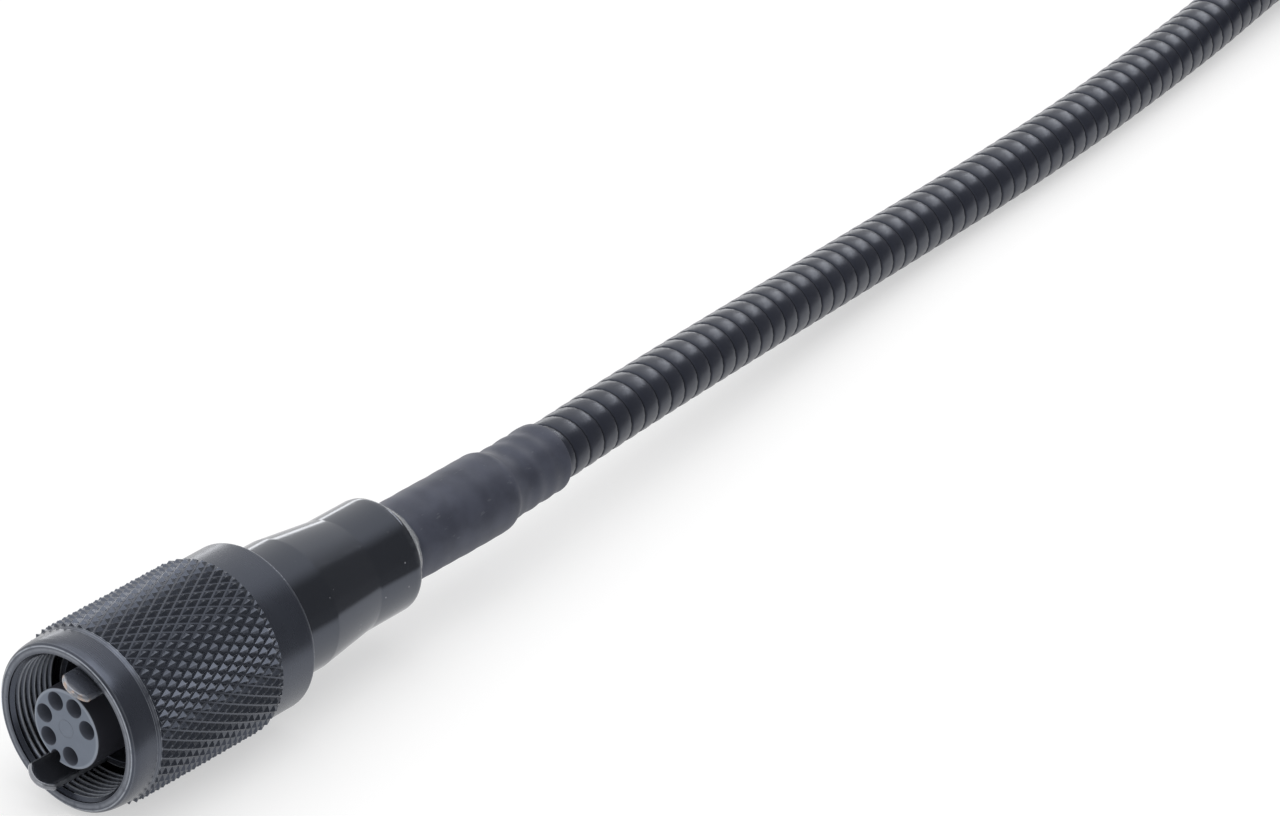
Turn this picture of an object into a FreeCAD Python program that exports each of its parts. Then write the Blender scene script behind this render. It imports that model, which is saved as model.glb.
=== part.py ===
import FreeCAD, Part
import math
import os

from FreeCAD import Placement, Rotation, Vector

# Inspection camera probe: a screw-coupled plug, a long gooseneck and the camera head at its end.
# Sizes are in millimetres. X runs back along the plug from its contact face, which is at the origin.
# +Z is up. The probe lies on its knurled nut, so the surface under it is at minus the knurl's radius.

# Clearances
FIT_GAP = 0.03
SLIP_GAP = 0.05
TURN_GAP = 0.10
FREE_GAP = 0.30
GLUE_GAP = 0.10

# Coupling nut. Its thread sets the radii of the whole plug.
THREAD_MAJOR_R = 8.00
THREAD_DEPTH = 0.40
THREAD_LENGTH = 6.2
THREAD_RELIEF = 0.20
THREAD_LEAD_IN = 0.20
NUT_SETBACK = 0.30
NUT_WALL = 1.75
RIM_STEP = 0.475
RIM_LENGTH = 3.5
RIM_CHAMFER = 0.60
LEDGE_LENGTH = 0.50
LEDGE_RISE = 0.15
KNURL_LENGTH = 17.6
COLLAR_STEP = 0.55
COLLAR_LENGTH = 5.0
NUT_CHAMFER = 0.25
SNAP_RING_THICK = 0.8
SNAP_RING_BITE = 0.5
SNAP_RING_MOUTH_DEG = 40.0

# Plug body, which carries the two key tongues
SHROUD_ROOM = 0.55
SHROUD_WALL = 0.75
SHROUD_FRONT_X = 6.4
TONGUE_WIDTH = 3.9
TONGUE_REACH = 2.0
TONGUE_END_R = 2.4
FLANGE_X = 10.0
FLANGE_THICK = 2.0
NECK_LENGTH = 1.0
SPIGOT_STEP = 0.55
SPIGOT_WALL = 1.15
SPIGOT_LENGTH = 8.0

# Contact insert and its sockets. The places share the circle evenly, apart from the gap at the key.
INSERT_R = 4.35
INSERT_CHAMFER = 0.20
INSERT_SEAT_X = 12.4
INSERT_FLANGE_THICK = 3.4
INSERT_BOSS_LENGTH = 2.4
KEY_DEG = -66.0
KEY_GAP_DEG = 64.0
KEYWAY_R = 0.65
KEYWAY_DEPTH = 1.15
CONTACT_PLACES = 7
BLANK_PLACE = 5
CONTACT_CIRCLE_R = 2.97
CONTACT_HOLE_R = 0.97
CONTACT_RECESS = 1.6
SOCKET_R = 0.525
SOCKET_DEPTH = 7.0
SOLDER_TAIL_R = 0.65
SOLDER_TAIL_LENGTH = 4.0
SOLDER_CUP_R = 0.42
SOLDER_CUP_DEPTH = 2.6
SOLDER_CUP_OPEN = 1.8

# Wires and signal cable inside the shell
WIRE_R = 0.32
WIRE_BUNDLE_R = 1.25
WIRE_STRAIGHT = 2.2
CABLE_R = 2.0
CABLE_FRONT_X = 31.5

# Rear shell
SHELL_STEP = 0.25
SHELL_FRONT_LENGTH = 19.2
SHELL_CONE_LENGTH = 7.5
SHELL_TAPER = 0.90
SHELL_REAR_LENGTH = 6.6
SHELL_REAR_BEVEL = 0.40
SHELL_WALL = 1.20
SHELL_END_WALL = 3.0

# Ferrule that holds the gooseneck, with the shrunk sleeve and the bead of adhesive over it
FERRULE_WALL = 0.52
FERRULE_FLANGE_THICK = 1.5
FERRULE_STOP = 0.5
FERRULE_TAIL = 17.1
BELL_LENGTH = 9.0
BELL_RISE = 0.30
SLEEVE_WALL = 0.37
SLEEVE_SWELL = 0.08
SLEEVE_SWELL_LENGTH = 3.0
SLEEVE_STEP_LENGTH = 1.9
SLEEVE_NARROW_LENGTH = 8.6
BEAD_RISE = 1.3
BEAD_LENGTH = 1.9
BEAD_HOLLOW = 0.30

# Gooseneck. Each point of its route has its distance behind the ferrule, its distance to the side,
# and the share it has come down from the plug's axis to the floor.
HOSE_R = 3.53
HOSE_BEND_SHARE = 0.45
HOSE_ROUTE = [
    (-1.6, 0.0, 0.0),
    (32.3, 3.6, 0.18),
    (88.6, 11.5, 0.96),
    (124.3, 13.6, 1.0),
    (158.5, 17.8, 1.0),
]
COIL_ENTRY = (176.6, 20.4)
COIL_ENTRY_DEG = 9.0
COIL_ENTRY_RUN = 17.0

# Coil of the put-away length: an outer and an inner turn on the floor, and a turn on the inner one.
# Angles count along the hose from where it joins the outer turn, and the turns go clockwise.
COIL_OUTER_R = 46.0
COIL_TURN_GAP = 0.04
COIL_EASE = 0.12
COIL_SIDE_EASE = 0.27
COIL_BEVEL = 1.9
COIL_SHIFT_DEG = 270.0
COIL_END_DEG = 925.0
COIL_TAIL = 12.0
TIE_THICK = 0.5
TIE_WIDTH = 9.0
TIE_DEG = 85.0

# Camera head. Places along it count from the rear of its ferrule.
HEAD_STEP = 0.27
HEAD_FERRULE_LENGTH = 7.0
HEAD_FERRULE_STOP = 1.0
HEAD_SPIGOT_LENGTH = 3.0
HEAD_LENGTH = 34.0
HEAD_WALL = 0.55
HEAD_LIP = 0.40
HEAD_LIP_DEPTH = 0.35
HEAD_EDGE_BEVEL = 0.3
WINDOW_THICK = 1.0
SEAL_THICK = 0.3
SEAL_WIDTH = 0.55
LED_HEIGHT = 0.5
LED_SIZE = 0.6
LED_COUNT = 4
LED_BOARD_THICK = 0.8
LENS_BARREL_R = 1.9
LENS_BARREL_LENGTH = 9.0
LENS_R = 1.2
LENS_THICK = 0.8
LENS_BORE_R = 0.9
SENSOR_BOARD_THICK = 0.8
HEAD_CABLE_R = 1.2

# Stations along X that follow from the sizes
NUT_FRONT_X = NUT_SETBACK
KNURL_FRONT_X = NUT_FRONT_X + RIM_LENGTH
KNURL_REAR_X = KNURL_FRONT_X + KNURL_LENGTH
NUT_REAR_X = KNURL_REAR_X + COLLAR_LENGTH
FLANGE_REAR_X = FLANGE_X + FLANGE_THICK
NUT_SHOULDER_X = FLANGE_REAR_X + FREE_GAP
SNAP_RING_REAR_X = FLANGE_X - FREE_GAP
SNAP_RING_FRONT_X = SNAP_RING_REAR_X - SNAP_RING_THICK
SHELL_X = FLANGE_REAR_X + NECK_LENGTH
CONE_FRONT_X = SHELL_X + SHELL_FRONT_LENGTH
CONE_REAR_X = CONE_FRONT_X + SHELL_CONE_LENGTH
SHELL_REAR_X = CONE_REAR_X + SHELL_REAR_LENGTH
SPIGOT_REAR_X = SHELL_X + SPIGOT_LENGTH
FERRULE_SEAT_X = SHELL_REAR_X - SHELL_END_WALL
FERRULE_FRONT_X = FERRULE_SEAT_X - FERRULE_FLANGE_THICK
FERRULE_REAR_X = SHELL_REAR_X + FERRULE_TAIL
HOSE_START_X = FERRULE_SEAT_X + FERRULE_STOP
INSERT_REAR_X = INSERT_SEAT_X + INSERT_BOSS_LENGTH
CONTACT_REAR_X = INSERT_REAR_X + SOLDER_TAIL_LENGTH

# Radii and levels that follow from the sizes
KNURL_R = THREAD_MAJOR_R + NUT_WALL
RIM_R = KNURL_R - RIM_STEP
COLLAR_R = KNURL_R - COLLAR_STEP
THREAD_MINOR_R = THREAD_MAJOR_R - THREAD_DEPTH
NUT_CAVITY_R = THREAD_MAJOR_R + THREAD_RELIEF
FLANGE_R = NUT_CAVITY_R - FREE_GAP
SHROUD_R = THREAD_MINOR_R - SHROUD_ROOM
SHROUD_BORE_R = SHROUD_R - SHROUD_WALL
SPIGOT_R = SHROUD_R - SPIGOT_STEP
SPIGOT_BORE_R = SPIGOT_R - SPIGOT_WALL
INSERT_BOSS_R = SPIGOT_BORE_R - SLIP_GAP
SHELL_FRONT_R = SHROUD_R + SHELL_STEP
SHELL_REAR_R = SHELL_FRONT_R - SHELL_TAPER
SHELL_CAVITY_R = SHELL_REAR_R - SHELL_WALL
FERRULE_BORE_R = HOSE_R + GLUE_GAP
FERRULE_R = FERRULE_BORE_R + FERRULE_WALL
SLEEVE_R = FERRULE_R + FIT_GAP + SLEEVE_WALL
SLEEVE_NARROW_R = FERRULE_BORE_R + SLEEVE_WALL
HEAD_R = HOSE_R + HEAD_STEP
COIL_INNER_R = COIL_OUTER_R - 2 * HOSE_R - COIL_TURN_GAP
TURN_HALF_WIDTH = HOSE_R + COIL_SIDE_EASE
FLOOR_Z = -KNURL_R
TURN_HALF_HEIGHT = HOSE_R + COIL_EASE
COIL_BASE_Z = FLOOR_Z + TIE_THICK + SLIP_GAP
COIL_LOW_Z = COIL_BASE_Z + TURN_HALF_HEIGHT
COIL_LOW_TOP_Z = COIL_LOW_Z + TURN_HALF_HEIGHT
COIL_TOP_Z = COIL_LOW_TOP_Z + HEAD_R + SLIP_GAP

# The straight lead is as long as the hose needs to come clear of the outer turn, and the top turn
# starts where it comes clear of the head.
COIL_LEAD = math.sqrt((COIL_OUTER_R + TURN_HALF_WIDTH + HOSE_R + FREE_GAP) ** 2 - COIL_OUTER_R**2)
HEAD_INSIDE = COIL_INNER_R - HEAD_R
HEAD_CLEAR_DEG = math.degrees(math.acos(HEAD_INSIDE / (COIL_INNER_R + TURN_HALF_WIDTH + FREE_GAP)))
COIL_TOP_SWEEP = 360 - HEAD_CLEAR_DEG

AXIS = Vector(1, 0, 0)
UP = Vector(0, 0, 1)
ORIGIN = Vector(0, 0, 0)


def turned(profile):
    """Solid of revolution about X from the corners (x, radius) of a closed profile."""
    corners = [Vector(x, 0, radius) for x, radius in profile]
    outline = Part.makePolygon(corners + corners[:1])
    return Part.Face(outline).revolve(ORIGIN, AXIS, 360)


def rod(front_x, rear_x, radius, y=0.0, z=0.0):
    return Part.makeCylinder(radius, rear_x - front_x, Vector(front_x, y, z), AXIS)


def on_circle(radius, degrees):
    """The y and z of a place on a circle about the plug's axis."""
    angle = math.radians(degrees)
    return radius * math.cos(angle), radius * math.sin(angle)


def bend_radius(before, corner, after):
    """The radius of the tangent arc that takes up its share of the shorter of two runs."""
    inward = corner - before
    outward = after - corner
    shorter = min(inward.Length, outward.Length)
    return HOSE_BEND_SHARE * shorter / math.tan(inward.getAngle(outward) / 2)


def bent_path(points, radii):
    """Straight runs between points, joined by a tangent arc of the given radius at each corner."""
    edges = []
    start = points[0]
    for before, corner, after, radius in zip(points, points[1:], points[2:], radii):
        inward = (corner - before).normalize()
        outward = (after - corner).normalize()
        half_turn = inward.getAngle(outward) / 2
        setback = radius * math.tan(half_turn)
        arc_start = corner - inward * setback
        arc_end = corner + outward * setback
        centre_way = (outward - inward).normalize()
        arc_middle = corner + centre_way * (radius / math.cos(half_turn) - radius)
        edges.append(Part.LineSegment(start, arc_start).toShape())
        edges.append(Part.Arc(arc_start, arc_middle, arc_end).toShape())
        start = arc_end
    edges.append(Part.LineSegment(start, points[-1]).toShape())
    return Part.Wire(edges)


def bent_rod(points, radii, radius):
    """Round solid along a bent path."""
    path = bent_path(points, radii)
    section = Part.Face(Part.Wire(Part.makeCircle(radius, points[0], points[1] - points[0])))
    return path.makePipe(section)


def ruled_radii(points):
    return [bend_radius(*three) for three in zip(points, points[1:], points[2:])]


def coupling_nut():
    bore = SHELL_FRONT_R + TURN_GAP
    groove = NUT_CAVITY_R + SNAP_RING_BITE
    thread_end = NUT_FRONT_X + THREAD_LENGTH
    outside = [
        (NUT_FRONT_X, RIM_R - RIM_CHAMFER),
        (NUT_FRONT_X + RIM_CHAMFER, RIM_R),
        (KNURL_FRONT_X - LEDGE_LENGTH, RIM_R),
        (KNURL_FRONT_X, RIM_R + LEDGE_RISE),
        (KNURL_FRONT_X, KNURL_R - NUT_CHAMFER),
        (KNURL_FRONT_X + NUT_CHAMFER, KNURL_R),
        (KNURL_REAR_X - NUT_CHAMFER, KNURL_R),
        (KNURL_REAR_X, KNURL_R - NUT_CHAMFER),
        (KNURL_REAR_X, COLLAR_R),
        (NUT_REAR_X - NUT_CHAMFER, COLLAR_R),
        (NUT_REAR_X, COLLAR_R - NUT_CHAMFER),
    ]
    inside = [
        (NUT_REAR_X, bore + NUT_CHAMFER),
        (NUT_REAR_X - NUT_CHAMFER, bore),
        (NUT_SHOULDER_X, bore),
        (NUT_SHOULDER_X, NUT_CAVITY_R),
        (SNAP_RING_REAR_X + SLIP_GAP, NUT_CAVITY_R),
        (SNAP_RING_REAR_X + SLIP_GAP, groove),
        (SNAP_RING_FRONT_X - SLIP_GAP, groove),
        (SNAP_RING_FRONT_X - SLIP_GAP, NUT_CAVITY_R),
        (thread_end, NUT_CAVITY_R),
        (thread_end, THREAD_MINOR_R),
        (NUT_FRONT_X + THREAD_LEAD_IN, THREAD_MINOR_R),
        (NUT_FRONT_X, THREAD_MAJOR_R),
    ]
    return turned(outside + inside)


def nut_retaining_ring():
    """Open snap ring in the nut's groove, in front of the plug body's flange."""
    inner = SHROUD_R + FREE_GAP
    outer = NUT_CAVITY_R + SNAP_RING_BITE - SLIP_GAP
    front, rear = SNAP_RING_FRONT_X, SNAP_RING_REAR_X
    section = [Vector(x, 0, r) for x, r in ((front, inner), (rear, inner), (rear, outer), (front, outer))]
    face = Part.Face(Part.makePolygon(section + section[:1]))
    return face.revolve(ORIGIN, AXIS, 360 - SNAP_RING_MOUTH_DEG)


def key_tongue(degrees):
    """Arc-ended tongue, cut from the shroud's own wall, that reaches past the contact face."""
    rear_x = FLANGE_X + FLANGE_THICK / 2
    half = TONGUE_WIDTH / 2
    arc_x = TONGUE_END_R - TONGUE_REACH
    wall = rod(-TONGUE_REACH, rear_x, SHROUD_R).cut(rod(-TONGUE_REACH, rear_x, SHROUD_BORE_R))
    strip = Part.makeBox(rear_x + TONGUE_REACH, TONGUE_WIDTH, SHROUD_R, Vector(-TONGUE_REACH, -half, 0))
    end = Part.makeCylinder(TONGUE_END_R, SHROUD_R, Vector(arc_x, 0, 0), UP)
    behind = Part.makeBox(rear_x - arc_x, TONGUE_WIDTH, SHROUD_R, Vector(arc_x, -half, 0))
    tongue = wall.common(strip).common(end.fuse(behind))
    tongue.rotate(ORIGIN, AXIS, degrees - 90)
    return tongue


def plug_body():
    body = turned([
        (SHROUD_FRONT_X, SHROUD_BORE_R),
        (SHROUD_FRONT_X, SHROUD_R),
        (FLANGE_X, SHROUD_R),
        (FLANGE_X, FLANGE_R),
        (FLANGE_REAR_X, FLANGE_R),
        (FLANGE_REAR_X, SHROUD_R),
        (SHELL_X, SHROUD_R),
        (SHELL_X, SPIGOT_R),
        (SPIGOT_REAR_X, SPIGOT_R),
        (SPIGOT_REAR_X, SPIGOT_BORE_R),
        (INSERT_SEAT_X, SPIGOT_BORE_R),
        (INSERT_SEAT_X, SHROUD_BORE_R),
    ])
    return body.multiFuse([key_tongue(KEY_DEG), key_tongue(KEY_DEG + 180)]).removeSplitter()


def contact_angles():
    step = (360 - KEY_GAP_DEG) / (CONTACT_PLACES - 1)
    first = KEY_DEG + KEY_GAP_DEG / 2
    return [first + place * step for place in range(CONTACT_PLACES) if place != BLANK_PLACE]


def contact_insert():
    flange_x = INSERT_SEAT_X - INSERT_FLANGE_THICK
    flange_r = SHROUD_BORE_R - SLIP_GAP
    core = turned([
        (0, 0),
        (0, INSERT_R - INSERT_CHAMFER),
        (INSERT_CHAMFER, INSERT_R),
        (flange_x, INSERT_R),
        (flange_x, flange_r),
        (INSERT_SEAT_X, flange_r),
        (INSERT_SEAT_X, INSERT_BOSS_R),
        (INSERT_REAR_X, INSERT_BOSS_R),
        (INSERT_REAR_X, 0),
    ])
    # The keyway has a half-round bottom and straight sides out to the edge.
    floor_z = INSERT_R - KEYWAY_DEPTH + KEYWAY_R
    keyway = rod(0, flange_x, KEYWAY_R, 0, floor_z)
    keyway = keyway.fuse(Part.makeBox(flange_x, 2 * KEYWAY_R, KEYWAY_DEPTH, Vector(0, -KEYWAY_R, floor_z)))
    keyway.rotate(ORIGIN, AXIS, KEY_DEG - 90)
    holes = []
    for degrees in contact_angles():
        y, z = on_circle(CONTACT_CIRCLE_R, degrees)
        holes.append(rod(0, INSERT_REAR_X, CONTACT_HOLE_R, y, z))
    return core.cut(keyway).cut(Part.makeCompound(holes))


def socket_contact(degrees):
    """Turned socket with a solder cup, open on its outer side, at its tail."""
    y, z = on_circle(CONTACT_CIRCLE_R, degrees)
    contact = rod(CONTACT_RECESS, INSERT_REAR_X, CONTACT_HOLE_R - FIT_GAP)
    contact = contact.fuse(rod(INSERT_REAR_X, CONTACT_REAR_X, SOLDER_TAIL_R))
    contact = contact.cut(rod(CONTACT_RECESS, CONTACT_RECESS + SOCKET_DEPTH, SOCKET_R))
    contact = contact.cut(rod(CONTACT_REAR_X - SOLDER_CUP_DEPTH, CONTACT_REAR_X, SOLDER_CUP_R))
    window_x = CONTACT_REAR_X - SOLDER_CUP_OPEN
    window = Part.makeBox(SOLDER_CUP_OPEN, 2 * SOLDER_TAIL_R, SOLDER_TAIL_R)
    window.translate(Vector(window_x, -SOLDER_TAIL_R, 0))
    contact = contact.cut(window)
    contact.rotate(ORIGIN, AXIS, degrees - 90)
    contact.translate(Vector(0, y, z))
    return contact


def contact_wire(degrees):
    """Wire from a solder cup to the end of the signal cable."""
    outer = on_circle(CONTACT_CIRCLE_R, degrees)
    inner = on_circle(WIRE_BUNDLE_R, degrees)
    stations = [
        (CONTACT_REAR_X - SOLDER_CUP_DEPTH + SLIP_GAP, outer),
        (CONTACT_REAR_X + WIRE_STRAIGHT, outer),
        (CABLE_FRONT_X - WIRE_STRAIGHT, inner),
        (CABLE_FRONT_X, inner),
    ]
    points = [Vector(x, y, z) for x, (y, z) in stations]
    section = Part.Wire(Part.makeCircle(WIRE_R, points[0], AXIS))
    return Part.makePolygon(points).makePipeShell([section], True, False, 1)


def rear_shell():
    front_bore = SPIGOT_R + FIT_GAP
    outside = [
        (SHELL_X, SHELL_FRONT_R - NUT_CHAMFER),
        (SHELL_X + NUT_CHAMFER, SHELL_FRONT_R),
        (CONE_FRONT_X, SHELL_FRONT_R),
        (CONE_REAR_X, SHELL_REAR_R),
        (SHELL_REAR_X - SHELL_REAR_BEVEL, SHELL_REAR_R),
        (SHELL_REAR_X, SHELL_REAR_R - SHELL_REAR_BEVEL),
    ]
    inside = [
        (SHELL_REAR_X, FERRULE_R + FIT_GAP),
        (FERRULE_SEAT_X, FERRULE_R + FIT_GAP),
        (FERRULE_SEAT_X, SHELL_CAVITY_R),
        (SPIGOT_REAR_X + FREE_GAP, SHELL_CAVITY_R),
        (SPIGOT_REAR_X + FREE_GAP, front_bore),
        (SHELL_X, front_bore),
    ]
    return turned(outside + inside)


def hose_ferrule():
    flange_r = SHELL_CAVITY_R - SLIP_GAP
    cable_bore = CABLE_R + SLIP_GAP
    bell_x = FERRULE_REAR_X - BELL_LENGTH
    return turned([
        (FERRULE_FRONT_X, cable_bore),
        (FERRULE_FRONT_X, flange_r),
        (FERRULE_SEAT_X, flange_r),
        (FERRULE_SEAT_X, FERRULE_R),
        (FERRULE_REAR_X, FERRULE_R),
        (FERRULE_REAR_X, FERRULE_BORE_R + BELL_RISE),
        (bell_x, FERRULE_BORE_R),
        (HOSE_START_X, FERRULE_BORE_R),
        (HOSE_START_X, cable_bore),
    ])


def heat_shrink_sleeve(route):
    """Shrunk sleeve: wide over the ferrule, then stepped down onto the gooseneck, which it follows."""
    swell_r = SLEEVE_R + SLEEVE_SWELL
    step_x = FERRULE_REAR_X + SLEEVE_STEP_LENGTH
    wide = turned([
        (SHELL_REAR_X, 0),
        (SHELL_REAR_X, SLEEVE_R),
        (FERRULE_REAR_X - SLEEVE_SWELL_LENGTH, SLEEVE_R),
        (FERRULE_REAR_X, swell_r),
        (step_x, SLEEVE_NARROW_R - SLIP_GAP),
        (step_x, 0),
    ])
    first_bend = bend_radius(*route[:3])
    onward = (route[2] - route[1]).normalize()
    sleeve_end = route[1] + onward * (step_x + SLEEVE_NARROW_LENGTH - route[1].x)
    inside_route = [route[0], route[1], sleeve_end]
    narrow = bent_rod(inside_route, [first_bend], SLEEVE_NARROW_R)
    bore = bent_rod([route[0], route[1], route[2]], [first_bend], FERRULE_BORE_R)
    ferrule_room = rod(SHELL_REAR_X, FERRULE_REAR_X + SLIP_GAP, FERRULE_R + FIT_GAP)
    ahead = rod(0, SHELL_REAR_X, SHELL_REAR_R)
    sleeve = wide.fuse(narrow.cut(ahead))
    return sleeve.cut(ferrule_room).cut(bore).removeSplitter()


def adhesive_bead():
    """Bead of adhesive in the corner between the shell's rear face and the sleeve."""
    inner = SLEEVE_R + FIT_GAP
    rear_x = SHELL_REAR_X + BEAD_LENGTH
    foot = Vector(SHELL_REAR_X, 0, inner)
    crest = Vector(SHELL_REAR_X, 0, inner + BEAD_RISE)
    toe = Vector(rear_x, 0, inner)
    hollow = (crest + toe) * 0.5 - Vector(BEAD_HOLLOW, 0, BEAD_HOLLOW)
    return turned([(p.x, p.z) for p in (foot, crest, hollow, toe)])


def coil_entry():
    """The last corner of the gooseneck's route, from where it runs straight into the coil."""
    behind, aside = COIL_ENTRY
    return Vector(FERRULE_REAR_X + behind, aside, COIL_LOW_Z)


def coil_frame():
    """Where the hose joins the coil, the way it heads there, and the coil's centre in plan."""
    heading = math.radians(COIL_ENTRY_DEG)
    ahead = Vector(math.cos(heading), math.sin(heading), 0)
    right = Vector(ahead.y, -ahead.x, 0)
    join = coil_entry() + ahead * (COIL_ENTRY_RUN + COIL_LEAD)
    return join, ahead, join + right * COIL_OUTER_R


def on_coil(radius, degrees, z):
    """A point of the coil, counted along its turns, and the way the hose heads there."""
    _, ahead, centre = coil_frame()
    turn = Rotation(UP, -degrees)
    heading = turn.multVec(ahead)
    left = Vector(-heading.y, heading.x, 0)
    place = centre + left * radius
    return Vector(place.x, place.y, z), heading


def gooseneck_route():
    _, ahead, _ = coil_frame()
    lying_z = FLOOR_Z + HOSE_R
    route = [Vector(HOSE_START_X, 0, 0)]
    for behind, aside, drop in HOSE_ROUTE:
        route.append(Vector(FERRULE_REAR_X + behind, aside, drop * lying_z))
    return route + [coil_entry(), coil_entry() + ahead * COIL_ENTRY_RUN]


def gooseneck_run(route):
    radii = ruled_radii(route)
    run = bent_rod(route, radii, HOSE_R)
    length = bent_path(route, radii).Length
    print("gooseneck bend radii, mm:", [round(r) for r in radii])
    print("gooseneck run, mm:", round(length, 1))
    print("volume over section times length:", round(run.Volume / (math.pi * HOSE_R**2 * length), 5))
    return run


def coil_length():
    """Hose length in the turns, from the lead to the camera head."""
    turns = math.radians(COIL_SHIFT_DEG) * COIL_OUTER_R
    turns += math.radians(COIL_END_DEG - COIL_SHIFT_DEG) * COIL_INNER_R
    return COIL_LEAD + turns + COIL_TAIL


def bevelled_ring(inner, outer, low, high, sweep):
    """Ring about Z, or a sector of one, with its corners bevelled to follow the round hose."""
    block = Part.makeBox(outer - inner, HOSE_R, high - low, Vector(inner, 0, low))
    upright = [e for e in block.Edges if abs(e.tangentAt(e.FirstParameter).y) > 0.99]
    bevelled = block.makeChamfer(COIL_BEVEL, upright)
    section = [f for f in bevelled.Faces if f.normalAt(0, 0).y < -0.99][0]
    return section.revolve(ORIGIN, UP, sweep)


def gooseneck_coil():
    """Outer shape of the wound turns, with the straight lead into them and the tail to the head."""
    inner = COIL_INNER_R - TURN_HALF_WIDTH
    top_z = COIL_TOP_Z + TURN_HALF_HEIGHT
    low = bevelled_ring(inner, COIL_OUTER_R + TURN_HALF_WIDTH, COIL_BASE_Z, COIL_LOW_TOP_Z, 360)
    top = bevelled_ring(inner, COIL_INNER_R + TURN_HALF_WIDTH, COIL_LOW_Z, top_z, COIL_TOP_SWEEP)
    # The turns go clockwise, so the top turn's sector starts at its last angle.
    top.rotate(ORIGIN, UP, COIL_ENTRY_DEG + 90 - COIL_END_DEG)
    coil = low.fuse(top)
    join, ahead, centre = coil_frame()
    coil.translate(Vector(centre.x, centre.y, 0))
    lead = Part.makeCylinder(HOSE_R, COIL_LEAD, join - ahead * COIL_LEAD, ahead)
    last, heading = on_coil(COIL_INNER_R, COIL_END_DEG, COIL_TOP_Z)
    overlap = heading * HOSE_R / 2
    tail = Part.makeCylinder(HOSE_R, COIL_TAIL + overlap.Length, last - overlap, heading)
    return coil.fuse(lead).fuse(tail).removeSplitter()


def coil_tie():
    """Flat strap closed round the wound turns."""
    # A straight strap on a round coil has to clear its inner wall at both edges of the strap.
    inner = math.sqrt((COIL_INNER_R - TURN_HALF_WIDTH) ** 2 - (TIE_WIDTH / 2) ** 2) - SLIP_GAP
    outer = COIL_OUTER_R + TURN_HALF_WIDTH + SLIP_GAP
    top_z = COIL_TOP_Z + TURN_HALF_HEIGHT + SLIP_GAP
    low_z = COIL_BASE_Z - SLIP_GAP
    step_z = COIL_LOW_TOP_Z
    shoulder = COIL_INNER_R + TURN_HALF_WIDTH + SLIP_GAP
    corners = [(inner, low_z), (outer, low_z), (outer, step_z), (shoulder, top_z), (inner, top_z)]
    points = [Vector(x, 0, z) for x, z in corners]
    loop = Part.makePolygon(points + points[:1])
    hole = Part.Face(loop)
    around = hole.makeOffset2D(TIE_THICK, 2)
    strap = Part.Face(around.OuterWire).extrude(Vector(0, TIE_WIDTH, 0))
    strap = strap.cut(hole.extrude(Vector(0, TIE_WIDTH, 0)))
    strap.translate(Vector(0, -TIE_WIDTH / 2, 0))
    _, _, centre = coil_frame()
    strap.rotate(ORIGIN, UP, COIL_ENTRY_DEG + 90 - TIE_DEG)
    strap.translate(Vector(centre.x, centre.y, 0))
    return strap


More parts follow.
